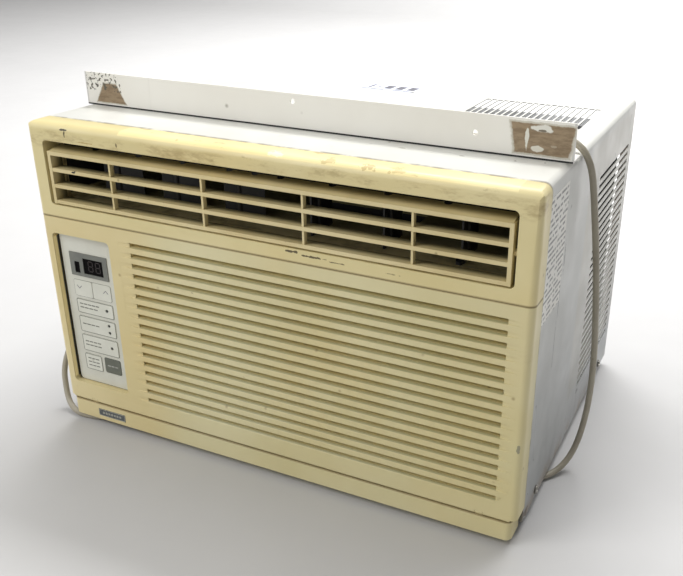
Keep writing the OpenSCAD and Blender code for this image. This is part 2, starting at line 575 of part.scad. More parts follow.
// ---------- air path ----------
module air_duct() color("gray") place() difference() {
  box([-ox - 2, duct_y0, out_z0 - duct_t], [ox + 2, scr_y1, out_z1 + duct_t]);
  box([-ox, duct_y0 - 1, out_z0], [ox, scr_y1 - duct_t, out_z1]);
  box([fan_x - 74, scr_y0 + 2, out_z0 - 3], [fan_x + 40, scr_y1 - 2, out_z0 + 1]);
  for (x = [vx0, vx0 + vane_pitch, vx0 + 2*vane_pitch, -vx0 - 7, -vx0 - 7 - vane_pitch, -vx0 - 7 - 2*vane_pitch])
    zcyl(x, vane_y, vane_pin_r + pin_fit, out_z0 - 3, out_z1 + 3);
}
scr_r = min(blower_r + 30, fan_z - pan_z - 4, hi - fan_x - 22);
module scroll_outline(g) {
  translate([fan_x, fan_z]) circle(scr_r - g, $fn = 96);
  translate([fan_x - 76 + g, fan_z]) square([118 - 2*g, out_z0 - duct_t - fan_z]);
}
module scroll_housing() color("dimgray") place() {
  along_y(scr_y0, scr_y1) difference() { scroll_outline(0); scroll_outline(2); }
  along_y(scr_y0, scr_y0 + 2) difference() { scroll_outline(0); translate([fan_x, fan_z]) circle(blower_r - 8); }
  along_y(scr_y1 - 2, scr_y1) difference() { scroll_outline(0); translate([fan_x, fan_z]) circle(shaft_r + 5); }
}
module bulkhead() color("lightgray") place() along_y(bulk_y, bulk_y + 1.2) difference() {
  translate([-hi + pan_t + 0.3, pan_z]) square([2*(hi - pan_t - 0.3), body_h - sheet_t - pan_z - 0.5]);
  translate([fan_x, fan_z]) circle(shaft_r + 8);
  translate([-hi + 76, fan_z + 20]) square([30, 60]);
  for (s = [-1, 1]) translate([s < 0 ? -hi : hi - 6, body_h - 7]) square([6, 7]);
}
module coil_tubes(x0, x1, y, z0, z1, n, rows, dy) {
  p = (z1 - z0)/n;
  for (k = [0:rows - 1], i = [0:n - 1]) xcyl(y + k*dy, z0 + p*(i + 0.5), 3.5, x0 - 5, x1 + 5);
  for (k = [0:rows - 1], i = [0:n - 2]) let (right = (i + k)%2 == 1)
    translate([right ? x1 + 5 : x0 - 5, y + k*dy, z0 + p*(i + 1)]) rotate([90, 0, 0]) rotate([0, 0, right ? -90 : 90])
      rotate_extrude(angle = 180, $fn = 32) translate([p/2, 0]) circle(r = 3.5, $fn = 16);
}
module coil_bores(x0, x1, y, z0, z1, n, rows, dy) {
  p = (z1 - z0)/n;
  for (k = [0:rows - 1], i = [0:n - 1]) xcyl(y + k*dy, z0 + p*(i + 0.5), 3.55, x0 - 1, x1 + 1);
}
module evaporator_fins() color("darkgray") place() difference() {
  box([evap_x0, evap_y0, evap_z0], [evap_x1, evap_y0 + evap_d, evap_z1]);
  coil_bores(evap_x0, evap_x1, evap_y0 + 8, evap_z0, evap_z1, 8, 2, 16);
}
module evaporator_tubes() color("peru") place()
  coil_tubes(evap_x0, evap_x1 - 3, evap_y0 + 8, evap_z0, evap_z1, 8, 2, 16);
module drain_pan() color("ghostwhite") place() difference() {
  box([evap_x0 - 2, evap_y0 - 5, pan_z], [evap_x1 + 4, evap_y0 + evap_d + 6, evap_z0]);
  box([evap_x0 + 4, evap_y0 - 2, pan_z + 3], [evap_x1 - 4, evap_y0 + evap_d + 3, evap_z0 + 1]);
}
module fan_motor() color("gray") place() difference() {
  union() {
    ycyl(fan_x, fan_z, motor_r, motor_y0 + 8, motor_y0 + motor_l - 8);
    ycyl(fan_x, fan_z, motor_r - 7, motor_y0 + 2, motor_y0 + motor_l - 2);
    ycyl(fan_x, fan_z, 12, motor_y0 - 3, motor_y0 + motor_l + 3);
  }
  ycyl(fan_x, fan_z, shaft_r + pin_fit, motor_y0 - 5, motor_y0 + motor_l + 5);
}
module motor_bracket() color("lightsteelblue") place() {
  along_y(motor_y0 + 22, motor_y0 + 40) difference() {
    union() {
      translate([fan_x, fan_z]) circle(motor_r + 3);
      translate([fan_x - 30, pan_z]) square([60, fan_z - pan_z]);
    }
    translate([fan_x, fan_z]) circle(motor_r);
    translate([fan_x - 26, pan_z + 2.5]) square([52, fan_z - pan_z - motor_r - 8]);
  }
  box([fan_x - 48, motor_y0 + 12, pan_z], [fan_x + 48, motor_y0 + 50, pan_z + 2.5]);
}
module motor_shaft() color("silver") place() ycyl(fan_x, fan_z, shaft_r, scr_y0 + 4, fan_y + fan_l);
wheel_y0 = scr_y0 + 5;
module blower_wheel() color("dimgray") place() translate([fan_x, 0, fan_z]) {
  along_y(wheel_y0 + blower_l - 2, wheel_y0 + blower_l) difference() { circle(blower_r); circle(shaft_r); }
  along_y(wheel_y0, wheel_y0 + 2) difference() { circle(blower_r); circle(blower_r - 12); }
  along_y(wheel_y0 + 2, wheel_y0 + blower_l - 2) for (i = [0:29]) rotate(i*12)
    translate([blower_r - 11.5, 0]) rotate(28) square([11, 1]);
  along_y(wheel_y0 + 8, wheel_y0 + blower_l - 2) difference() { circle(12); circle(shaft_r); }
}
module condenser_fan() color("dimgray") place() translate([fan_x, 0, fan_z]) {
  along_y(fan_y, fan_y + fan_l - 2) difference() { circle(20); circle(shaft_r); }
  for (i = [0:4]) rotate([0, i*72, 0]) translate([0, fan_y + fan_l/2 - 1, 0]) rotate([0, 0, 28])
    box([-27, -1.2, 16], [27, 1.2, fan_r - 12]);
  for (i = [0:4]) rotate([0, i*72, 0]) box([-2, fan_y + fan_l/2 - 3, 18], [2, fan_y + fan_l/2 + 1, fan_r - 1]);
  along_y(fan_y + 9, fan_y + 18) difference() { circle(fan_r); circle(fan_r - 2.5); }
}
module condenser_shroud() color("dimgray") place() {
  along_y(shroud_y, shroud_y + 2) difference() {
    translate([cond_x0, pan_z]) square([shroud_x1 - cond_x0, cond_z1 - pan_z]);
    translate([fan_x, fan_z]) circle(fan_r + 4);
  }
  along_y(shroud_y + 2, cond_y0) difference() {
    translate([cond_x0, pan_z]) square([shroud_x1 - cond_x0, cond_z1 - pan_z]);
    translate([cond_x0 + 2, pan_z - 1]) square([shroud_x1 - 4 - cond_x0, cond_z1 - pan_z - 1]);
  }
}
module condenser_fins() color("darkgray") place() difference() {
  box([cond_x0 + 12, cond_y0, cond_z0], [cond_x1 - coil_in, cond_y1, cond_z1]);
  coil_bores(cond_x0 + 12, cond_x1 - coil_in, cond_y0 + 9, cond_z0, cond_z1, 10, 2, 18);
}
module condenser_tubes() color("peru") place()
  coil_tubes(cond_x0 + 16, cond_x1 - coil_in - 2, cond_y0 + 9, cond_z0, cond_z1, 10, 2, 18);

// ---------- cooling circuit ----------
comp_h = min(172, body_h - comp_z0 - 70);
module compressor() color([0.12, 0.12, 0.12]) place() translate([comp_x, comp_y, 0]) {
  // shell: foot ring, seam flange half way up, domed top
  translate([0, 0, comp_z0]) rotate_extrude() polygon(concat(
    [[0, 6], [comp_r - 8, 6], [comp_r, 16], [comp_r, comp_h*0.48], [comp_r + 2, comp_h*0.48],
      [comp_r + 2, comp_h*0.48 + 4], [comp_r, comp_h*0.48 + 4]],
    [for (a = [0:15:75]) [comp_r - 22 + 22*cos(a), comp_h - 24 + 22*sin(a)]], [[comp_r - 30, comp_h - 2], [0, comp_h - 2]]));
  difference() {
    union() {
      zcyl(0, 0, 40, comp_z0, comp_z0 + 7);
      for (a = stud_a) rotate([0, 0, a]) box([0, -9, comp_z0], [stud_r, 9, comp_z0 + 3]);
      for (a = stud_a) zcyl(stud_r*cos(a), stud_r*sin(a), 11, comp_z0, comp_z0 + 3);
    }
    for (a = stud_a) zcyl(stud_r*cos(a), stud_r*sin(a), 5, comp_z0 - 1, comp_z0 + 4);
  }
}
module terminal_cover() color([0.2, 0.2, 0.22]) place() translate([comp_x, comp_y, 0])
  difference() {
    box([-22, -comp_r - 14, comp_z0 + 86], [22, -comp_r + 14, comp_z0 + 126]);
    zcyl(0, 0, comp_r + 2, comp_z0 + 60, comp_z0 + 140);
  }
module compressor_grommets() color([0.15, 0.15, 0.15]) place() translate([comp_x, comp_y, 0])
  for (a = stud_a) translate([stud_r*cos(a), stud_r*sin(a), 0]) difference() {
    union() { zcyl(0, 0, 10, pan_z, comp_z0); zcyl(0, 0, 5, comp_z0, comp_z0 + 3); zcyl(0, 0, 9, comp_z0 + 3, comp_z0 + 8); }
    zcyl(0, 0, 3, pan_z - 1, comp_z0 + 9);
  }
module compressor_nuts() color("silver") place() translate([comp_x, comp_y, 0])
  for (a = stud_a) translate([stud_r*cos(a), stud_r*sin(a), 0]) difference() {
    union() { zcyl(0, 0, 8, comp_z0 + 8, comp_z0 + 9.4); translate([0, 0, comp_z0 + 9.4]) cylinder(r = 5.6, h = 4, $fn = 6); }
    zcyl(0, 0, 3, comp_z0 + 7, comp_z0 + 15);
  }
acc_x = comp_x + comp_r + 22;
acc_y = comp_y - 46;
module accumulator() color("peru") place() translate([acc_x, acc_y, 0]) {
  zcyl(0, 0, 15, comp_z0 + 76, comp_z0 + 150);
  zcyl(0, 0, 9, comp_z0 + 70, comp_z0 + 156);
}
// pipes: each ends on the face of what it serves
module suction_tube() color("peru") place() difference() {
  union() {
    sweep(smooth([[acc_x, acc_y, comp_z0 + 155.5], [acc_x, acc_y, comp_z0 + 172], [acc_x - 8, acc_y - 14, comp_z0 + 180],
      [acc_x - 22, acc_y - 40, comp_z0 + 168], [box_x1 + 24, bulk_y + 12, fan_z + 62], [box_x1 + 15, bulk_y - 8, fan_z + 60],
      [box_x1 + 9, bulk_y - 32, fan_z + 66], [box_x1 + 8, evap_y0 + 44, evap_z1 - 16], [box_x1 + 9.5, evap_y0 + 32, evap_z1 - evap_p/2 - 1],
      [box_x1 + 13, evap_y0 + 25.5, evap_z1 - evap_p/2], [evap_x0 - 5, evap_y0 + 24, evap_z1 - evap_p/2]], 3), 4.2, 10);
    sweep(smooth([[acc_x, acc_y, comp_z0 + 70.5], [acc_x, acc_y, comp_z0 + 56], [acc_x - 6, acc_y + 12, comp_z0 + 46],
      [acc_x - 18, acc_y + 24, comp_z0 + 44], [comp_x + comp_r*0.84, comp_y - comp_r*0.52, comp_z0 + 44]], 3), 4, 10);
  }
  // stops on the accumulator's two necks and on the compressor's shell
  zcyl(acc_x, acc_y, 9, comp_z0 + 70, comp_z0 + 156);
  zcyl(comp_x, comp_y, comp_r, comp_z0 + 20, comp_z0 + 70);
}
module discharge_tube() color("peru") place()
  sweep(smooth([[comp_x + 18, comp_y + 10, comp_z0 + comp_h - 2], [comp_x + 18, comp_y + 10, comp_z0 + comp_h + 16],
    [comp_x + 34, comp_y + 24, comp_z0 + comp_h + 26], [comp_x + comp_r + 4, comp_y + 46, comp_z0 + comp_h + 26],
    [cond_x0 - 18, cond_y0 + 13, cond_z1 - 24], [cond_x0 - 13, cond_y0 + 25, cond_z1 - 14.5],
    [cond_x0 - 4, cond_y0 + 27, cond_z1 - cond_p/2], [cond_x0 + 11, cond_y0 + 27, cond_z1 - cond_p/2]], 3), 3.5, 10);
cap_x = comp_x + 44;
cap_y = bulk_y + 34;
cap_z = fan_z + 10;
module capillary_tube() color("peru") place()
  sweep(concat(
    smooth([[cond_x0 + 11, cond_y0 + 27, cond_z0 + cond_p/2], [cond_x0 - 8, cond_y0 + 27, cond_z0 + cond_p/2],
      [cond_x0 - 18, cond_y0 + 20, cond_z0 + 20], [cond_x0 - 12, cond_y0 - 20, cap_z - 60],
      [cond_x0 - 8, comp_y + 4, cap_z - 16], [cap_x + 19, comp_y - 34, cap_z - 4], [cap_x + 16.5, cap_y + 18, cap_z - 1]], 2),
    [for (i = [0:60]) let (a = -i*30) [cap_x + 16*cos(a), cap_y + 16*sin(a), cap_z + 22*i/60]],
    smooth([[cap_x + 14, cap_y - 12, cap_z + 24], [cap_x + 2, cap_y - 21, cap_z + 26], [cap_x - 14, cap_y - 24, cap_z + 27],
      [box_x1 + 21, bulk_y + 4, cap_z + 26], [box_x1 + 16, bulk_y - 8, cap_z + 22], [box_x1 + 14, bulk_y - 26, cap_z + 4],
      [box_x1 + 12, bulk_y - 40, cap_z - 36], [box_x1 + 11, evap_y0 + 42, evap_z0 + 32], [box_x1 + 13, evap_y0 + 29, evap_z0 + evap_p/2 + 4],
      [evap_x0 - 5, evap_y0 + 24, evap_z0 + evap_p/2]], 2)), 1.6, 6);

// ---------- power cord ----------
module strain_relief() color("gray") place() {
  difference() {
    box([-152, 5, 11], [-136, 20, strip_z + strip_h - wall_t]);
    xcyl(12, 15, cord_d/2 + 0.02, -153, -148);
  }
  difference() { xcyl(12, 15, 4.8, -158, -151); xcyl(12, 15, cord_d/2 + 0.02, -160, -148); }
}
module power_cord() color("darkgray") place() sweep(smooth(cord_pts, 1), cord_d/2, 8);
plug_p = [-20, 395, 9];
module plug_body() color("darkgray") place() translate(plug_p) {
  rotate([-90, 0, 0]) cylinder(r = 5.2, h = 20, $fn = 24);
  box([-13, 18, -9], [13, 46, 9]);
}
module plug_blades() color("gold") place() translate(plug_p) {
  for (s = [-1, 1]) box([s*6.35 - 0.8, 46, -2 - 3.2], [s*6.35 + 0.8, 63, -2 + 3.2]);
  translate([0, 46, 5.2]) rotate([-90, 0, 0]) cylinder(r = 2.4, h = 20);
}

base_pan();
cabinet();
top_rail();
rail_screws();
cabinet_screws();
front_frame();
front_panel();
air_filter();
nameplate();
control_panel();
display_bezel();
display_window();
indicator_leds();
control_box();
circuit_board();
run_capacitor();
key_temp_down();
key_temp_up();
key_energy_saver();
key_mode();
key_timer();
key_fan_speed();
key_power();
louver_frame();
left_vane_1();
left_vane_2();
left_vane_3();
left_tie_bar();
right_vane_1();
right_vane_2();
right_vane_3();
right_tie_bar();
air_duct();
scroll_housing();
bulkhead();
evaporator_fins();
evaporator_tubes();
drain_pan();
fan_motor();
motor_bracket();
motor_shaft();
blower_wheel();
condenser_fan();
condenser_shroud();
condenser_fins();
condenser_tubes();
compressor();
terminal_cover();
compressor_grommets();
compressor_nuts();
suction_tube();
discharge_tube();
capillary_tube();
accumulator();
strain_relief();
power_cord();
plug_body();
plug_blades();
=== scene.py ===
"""Looks of a window air conditioner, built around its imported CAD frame.

Every piece is in metres in the frame of the CAD: +X to the viewer's right,
+Y to the back, +Z up, the unit standing on Z = 0.
"""
import json
import logging
import math
from collections.abc import Callable
from dataclasses import dataclass, field
from enum import Enum

import bmesh
import bpy
import numpy as np
from mathutils import Matrix, Vector


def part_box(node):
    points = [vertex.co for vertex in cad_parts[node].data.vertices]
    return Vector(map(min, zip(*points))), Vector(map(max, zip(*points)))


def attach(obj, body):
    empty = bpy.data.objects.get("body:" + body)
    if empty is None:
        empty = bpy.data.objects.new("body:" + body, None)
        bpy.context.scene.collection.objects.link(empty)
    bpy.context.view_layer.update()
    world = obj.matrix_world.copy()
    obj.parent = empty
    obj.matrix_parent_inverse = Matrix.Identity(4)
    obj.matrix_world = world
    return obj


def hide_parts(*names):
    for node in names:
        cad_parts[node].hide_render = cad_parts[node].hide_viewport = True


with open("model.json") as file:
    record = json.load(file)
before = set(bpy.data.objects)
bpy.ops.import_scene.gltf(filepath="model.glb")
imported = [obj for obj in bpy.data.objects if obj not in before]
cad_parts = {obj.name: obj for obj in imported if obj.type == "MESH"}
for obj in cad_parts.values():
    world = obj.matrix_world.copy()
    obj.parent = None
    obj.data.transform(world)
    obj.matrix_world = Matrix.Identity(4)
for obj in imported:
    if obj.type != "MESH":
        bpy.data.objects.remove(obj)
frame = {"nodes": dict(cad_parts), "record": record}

log = logging.getLogger("air_conditioner")
Colour = tuple[float, float, float]
Point = tuple[float, float, float]
Socket = bpy.types.NodeSocket
Tree = bpy.types.NodeTree
Material = bpy.types.Material
Piece = bpy.types.Object
FRONT = -0.1735          # y of the front face
TOP = 0.302              # z of the cabinet top
HALF = 0.231             # half width of the cabinet
PLATE = FRONT + 0.0055   # y of the control plate's face
PARTING = 0.2165         # z of the seam between grille and panel
CHIN_SEAM = 0.0247       # z of the seam above the bottom strip
INTAKE_X = (-0.1330, -0.1322, 0.2126, 0.2134)   # where the intake slots begin and end
INTAKE_Z = (0.0365, 0.0385, 0.2050, 0.2058)
WALL_X = (-0.2220, -0.2216, -0.2180, -0.2175)   # the wall left of the controls, painted brighter as a highlight
WALL_Z = (0.0480, 0.0495, 0.1955, 0.1970)
# where a black line of painted shadow fills the gap beside the control plate
CRACK_X = (-0.2206, -0.2202, -0.2190, -0.2186)
PRINT_Y = FRONT + 0.0515                        # middle of the print block on the right side
TILTED = ((0.9986, -0.0523, 0), (0.0523, 0.9986, 0))   # the lot sticker's own right and up


def srgb(r: int, g: int, b: int) -> Colour:
    """Linear colour of an 8-bit display colour.

    Args:
        r: Red, 0 to 255.
        g: Green, 0 to 255.
        b: Blue, 0 to 255.

    Returns:
        The linear red, green and blue.
    """
    def lin(c: float) -> float:
        """One channel, by the sRGB curve."""
        return c / 12.92 if c <= 0.04045 else ((c + 0.055) / 1.055) ** 2.4
    return tuple(lin(c / 255) for c in (r, g, b))


# ---------------- wiring
class Wiring:
    """Adds nodes to a material's or a node group's tree."""

    def __init__(self, tree: Tree) -> None:
        """Args: tree: the tree to add to."""
        self.tree = tree

    def put(self, socket: Socket, value: object) -> None:
        """Links or sets one input.

        Args:
            socket: The input socket.
            value: Another socket, a number, or a tuple.
        """
        if isinstance(value, Socket):
            self.tree.links.new(value, socket)
        elif socket.type == "RGBA" and not isinstance(value, (int, float)) and len(value) == 3:
            socket.default_value = (*value, 1.0)
        else:
            socket.default_value = value

    def add(self, kind: str, values: dict | None = None, **props: object) -> bpy.types.Node:
        """Adds a node.

        Args:
            kind: Node type name without its prefix.
            values: Input name or index to value or socket.
            **props: Properties of the node.

        Returns:
            The node.
        """
        node = self.tree.nodes.new("ShaderNode" + kind)
        for key, value in props.items():
            setattr(node, key, value)
        for key, value in (values or {}).items():
            self.put(node.inputs[key], value)
        return node

    def math(self, op: str, a: object, b: object = 0.0) -> Socket:
        """One Math node; returns its value."""
        return self.add("Math", {0: a, 1: b}, operation=op).outputs[0]

    def times(self, first: object, *more: object) -> Socket:
        """Multiplies values one after another; returns the product."""
        for value in more:
            first = self.math("MULTIPLY", first, value)
        return first

    def vec(self, op: str, a: object, b: object = (0.0, 0.0, 0.0)) -> Socket:
        """One Vector Math node; returns its vector, or its value for LENGTH."""
        node = self.add("VectorMath", {0: a, 1: b}, operation=op)
        return node.outputs["Value" if op == "LENGTH" else "Vector"]

    def mix(self, factor: object, a: object, b: object, blend: str = "MIX") -> Socket:
        """Mixes two colours; returns the colour."""
        node = self.add("Mix", data_type="RGBA", blend_type=blend, clamp_factor=True)
        for index, value in ((0, factor), (6, a), (7, b)):
            self.put(node.inputs[index], value)
        return node.outputs[2]

    def tint(self, factor: object, colour: object, by: Colour) -> Socket:
        """Multiplies a colour by another as far as the factor says; returns the colour."""
        return self.mix(factor, colour, by, "MULTIPLY")

    def noise(self, vector: object, scale: object, detail: float = 3.0, rough: float = 0.55) -> Socket:
        """Noise texture; returns its value."""
        values = {"Vector": vector, "Scale": scale, "Detail": detail, "Roughness": rough}
        return self.add("TexNoise", values).outputs[0]

    def span(self, value: object, low: object, high: object, to_low: float = 0.0, to_high: float = 1.0,
             shape: str = "SMOOTHSTEP") -> Socket:
        """Maps a range onto another, clamped; returns the value."""
        values = {0: value, 1: low, 2: high, 3: to_low, 4: to_high}
        return self.add("MapRange", values, interpolation_type=shape).outputs[0]

    def between(self, value: object, a: float, b: float, c: float, d: float) -> Socket:
        """A window that opens from a to b and closes from c to d; returns the value."""
        return self.times(self.span(value, a, b), self.span(value, d, c))

    def axes(self, vector: object) -> tuple[Socket, Socket, Socket]:
        """Splits a vector into X, Y and Z."""
        return tuple(self.add("SeparateXYZ", {0: vector}).outputs)

    def use(self, group: Tree, **values: object) -> Socket:
        """Places a shared effect; keyword names are its inputs, with _ for a space. Returns its output."""
        node = self.tree.nodes.new("ShaderNodeGroup")
        node.node_tree = group
        for key, value in values.items():
            self.put(node.inputs[key.replace("_", " ")], value)
        return node.outputs[0]


class Effects:
    """Shared effects: node groups that put out one mask or height each."""

    def __init__(self) -> None:
        """Builds every group once."""
        self.blotch, self.specks, self.scratches = self._blotch(), self._specks(), self._scratches()
        self.mark, self.grain, self.streaks = self._mark(), self._grain(), self._streaks()
        self.torn, self.band = self._torn(), self._band()

    @staticmethod
    def _new(name: str, **inputs: object) -> tuple[Wiring, list[Socket]]:
        """Starts a group.

        Args:
            name: The group's name.
            **inputs: Name, with _ for a space, to default: None or a tuple for a vector, else a number.

        Returns:
            The wiring and the inputs.
        """
        tree = bpy.data.node_groups.new(name, "ShaderNodeTree")
        for key, value in inputs.items():
            kind = "NodeSocketFloat" if isinstance(value, float) else "NodeSocketVector"
            item = tree.interface.new_socket(key.replace("_", " "), in_out="INPUT", socket_type=kind)
            if value is not None:
                item.default_value = value
        tree.interface.new_socket("Value", in_out="OUTPUT", socket_type="NodeSocketFloat")
        return Wiring(tree), list(tree.nodes.new("NodeGroupInput").outputs)[:len(inputs)]

    @staticmethod
    def _done(w: Wiring, value: Socket) -> Tree:
        """Puts a group's value out; returns the group."""
        w.put(w.tree.nodes.new("NodeGroupOutput").inputs[0], value)
        return w.tree

    def _blotch(self) -> Tree:
        """Soft uneven patches: noise, thresholded softly."""
        w, (p, scale, cover, soft) = self._new("soft_blotches",
                                               Vector=None, Scale=8.0, Cover=0.5, Softness=0.2)
        edge = w.math("SUBTRACT", 1.0, cover)
        low, high = w.math("SUBTRACT", edge, soft), w.math("ADD", edge, soft)
        return self._done(w, w.span(w.noise(p, scale, 4.0, 0.6), low, high))

    def _specks(self) -> Tree:
        """Small separate spots: cells whose random value is low, within a radius of the cell's point."""
        w, (p, scale, share, radius) = self._new("fine_specks",
                                                 Vector=None, Scale=120.0, Share=0.1, Radius=0.25)
        cell = w.add("TexVoronoi", {"Vector": p, "Scale": scale})
        chosen = w.math("LESS_THAN", w.axes(cell.outputs["Color"])[0], share)
        return self._done(w, w.times(chosen, w.span(cell.outputs["Distance"], 0.0, radius, 1.0, 0.0)))

    def _scratches(self) -> Tree:
        """Thin curved lines: the middle crossings of a noise, broken up by a second noise."""
        w, (p, scale, width, share) = self._new("thin_scratches",
                                                Vector=None, Scale=14.0, Width=0.006, Share=0.45)
        line = w.math("ABSOLUTE", w.math("SUBTRACT", w.noise(p, scale, 0.0, 0.5), 0.5))
        thin = w.span(line, 0.0, width, 1.0, 0.0, "LINEAR")
        part = w.noise(w.vec("ADD", p, (3.1, 1.7, 5.3)), 23.0, 3.0, 0.5)
        return self._done(w, w.times(thin, w.math("GREATER_THAN", part, w.math("SUBTRACT", 1.0, share))))

    def _mark(self) -> Tree:
        """One ragged spot: an ellipse round Centre with radii Size, its rim shifted by noise."""
        w, (p, centre, size, rag, grain) = self._new("single_mark", Vector=None, Centre=None,
                                                     Size=(0.01,) * 3, Rag=0.6, Grain=220.0)
        d = w.vec("DIVIDE", w.vec("SUBTRACT", p, centre), size)
        shift = w.times(w.math("SUBTRACT", w.noise(p, grain, 3.0, 0.5), 0.5), w.times(rag, 3.0))
        return self._done(w, w.span(w.math("ADD", w.vec("LENGTH", d), shift), 0.75, 1.0, 1.0, 0.0))

    def _grain(self) -> Tree:
        """Moulded texture height: fine noise over a slow waviness."""
        w, (p, fine, wave, share) = self._new("surface_grain",
                                              Vector=None, Fine=900.0, Wave=9.0, Wave_share=0.5)
        slow = w.times(w.noise(p, wave, 1.0, 0.5), share)
        return self._done(w, w.math("ADD", w.noise(p, fine, 2.0, 0.5), slow))

    def _streaks(self) -> Tree:
        """Runs of dirt: noise stretched by Stretch."""
        w, (p, scale, stretch, cover) = self._new("dirt_streaks", Vector=None, Scale=40.0,
                                                  Stretch=(1.0, 1.0, 0.12), Cover=0.4)
        n = w.noise(w.vec("MULTIPLY", p, stretch), scale, 5.0, 0.65)
        low = w.math("SUBTRACT", 1.0, cover)
        return self._done(w, w.span(n, low, w.math("ADD", low, 0.22)))

    def _torn(self) -> Tree:
        """A torn trapezoid in the XZ plane: the larger of the two distances from its middle, its
        half width shrinking with height by Taper, its rim shifted by noise."""
        w, (p, centre, wide, high, taper, rag) = self._new("torn_patch", Vector=None, Centre=None,
                                                           Half_width=0.02, Half_height=0.01,
                                                           Taper=0.0, Rag=0.2)
        x, _, z = w.axes(w.vec("SUBTRACT", p, centre))
        t = w.math("DIVIDE", z, high)
        half = w.times(wide, w.math("SUBTRACT", 1.0, w.times(t, taper)))
        far = w.math("MAXIMUM", w.math("DIVIDE", w.math("ABSOLUTE", x), half), w.math("ABSOLUTE", t))
        shift = w.times(w.math("SUBTRACT", w.noise(p, 160.0, 5.0, 0.7), 0.5), w.times(rag, 2.0))
        return self._done(w, w.span(w.math("ADD", far, shift), 0.93, 1.0, 1.0, 0.0))

    def _band(self) -> Tree:
        """A soft line where a value is near Middle: full within Width, gone at three Widths."""
        w, (value, middle, width) = self._new("soft_line", Value=0.0, Middle=0.0, Width=0.001)
        d = w.math("ABSOLUTE", w.math("SUBTRACT", value, middle))
        return self._done(w, w.span(d, width, w.times(width, 3.0), 1.0, 0.0))


# ---------------- finishes
@dataclass(frozen=True)
class Mark:
    """One mark on a surface: where, how big, what colour and how strong."""

    centre: Point
    size: Point
    colour: Colour
    strength: float = 1.0
    rag: float = 0.6
    grain: float = 220.0


@dataclass(frozen=True)
class Finish:
    """A finish with uneven colour, grain, specks and single marks."""

    name: str
    colour: Colour
    second: Colour
    rough: float = 0.5
    metal: float = 0.0
    specular: float = 0.5
    coat: float = 0.0
    patch_scale: float = 7.0
    patch_soft: float = 0.25
    grain_scale: float = 900.0
    grain_depth: float = 0.00004
    wave_share: float = 0.5
    dirt: Colour = (0.10, 0.08, 0.05)
    speck_share: float = 0.05
    speck_scale: float = 110.0
    marks: tuple[Mark, ...] = ()

    def colours(self, w: Wiring, fx: Effects, p: Socket) -> Socket:
        """Colour over the surface: patches, specks, then the single marks.

        Args:
            w: Wiring of the material.
            fx: The shared effects.
            p: Object coordinates.

        Returns:
            The colour socket.
        """
        patch = w.use(fx.blotch, Vector=p, Scale=self.patch_scale, Softness=self.patch_soft)
        colour = w.mix(patch, self.colour, self.second)
        if self.speck_share:
            s = w.use(fx.specks, Vector=p, Scale=self.speck_scale, Share=self.speck_share, Radius=0.22)
            colour = w.mix(w.times(s, 0.7), colour, self.dirt)
        for m in self.marks:
            colour = self.marked(w, fx, p, colour, m)
        return colour

    @staticmethod
    def marked(w: Wiring, fx: Effects, p: Socket, colour: Socket, m: Mark, where: object = 1.0) -> Socket:
        """Lays one mark over a colour, only where a mask allows; returns the new colour."""
        s = w.use(fx.mark, Vector=p, Centre=m.centre, Size=m.size, Rag=m.rag, Grain=m.grain)
        return w.mix(w.times(s, w.times(where, m.strength)), colour, m.colour)

    def build(self, fx: Effects) -> Material:
        """Makes the material.

        Args:
            fx: The shared effects.

        Returns:
            The material.
        """
        mat = bpy.data.materials.new(self.name)
        mat.use_nodes = True
        w = Wiring(mat.node_tree)
        p = w.add("TexCoord").outputs["Object"]
        grain = w.use(fx.grain, Vector=p, Fine=self.grain_scale, Wave_share=self.wave_share)
        bump = w.add("Bump", {"Strength": 0.6, "Distance": self.grain_depth, "Height": grain})
        low, high = max(self.rough - 0.08, 0.03), min(self.rough + 0.1, 1.0)
        for name, value in (("Base Color", self.colours(w, fx, p)), ("Metallic", self.metal),
                            ("Roughness", w.span(w.noise(p, 24.0), 0.25, 0.75, low, high)),
                            ("Specular IOR Level", self.specular), ("Coat Weight", self.coat),
                            ("Normal", bump.outputs[0])):
            w.put(mat.node_tree.nodes["Principled BSDF"].inputs[name], value)
        return mat


def mark(x: float, y: float, z: float, sx: float, sy: float, sz: float, colour: Colour,
         strength: float = 1.0, rag: float = 0.6, grain: float = 260.0) -> Mark:
    """A mark given in millimetres, y counted from the front face; returns the Mark."""
    place, size = (x / 1000, FRONT + y / 1000, z / 1000), (sx / 1000, sy / 1000, sz / 1000)
    return Mark(place, size, colour, strength, rag, grain)


# Black of real scuff marks, also used as painted shadow in the gap by the controls.
SCUFF_AND_SHADOW_BLACK = (0.012, 0.010, 0.008)
BROWN_DIRT = srgb(96, 78, 48)


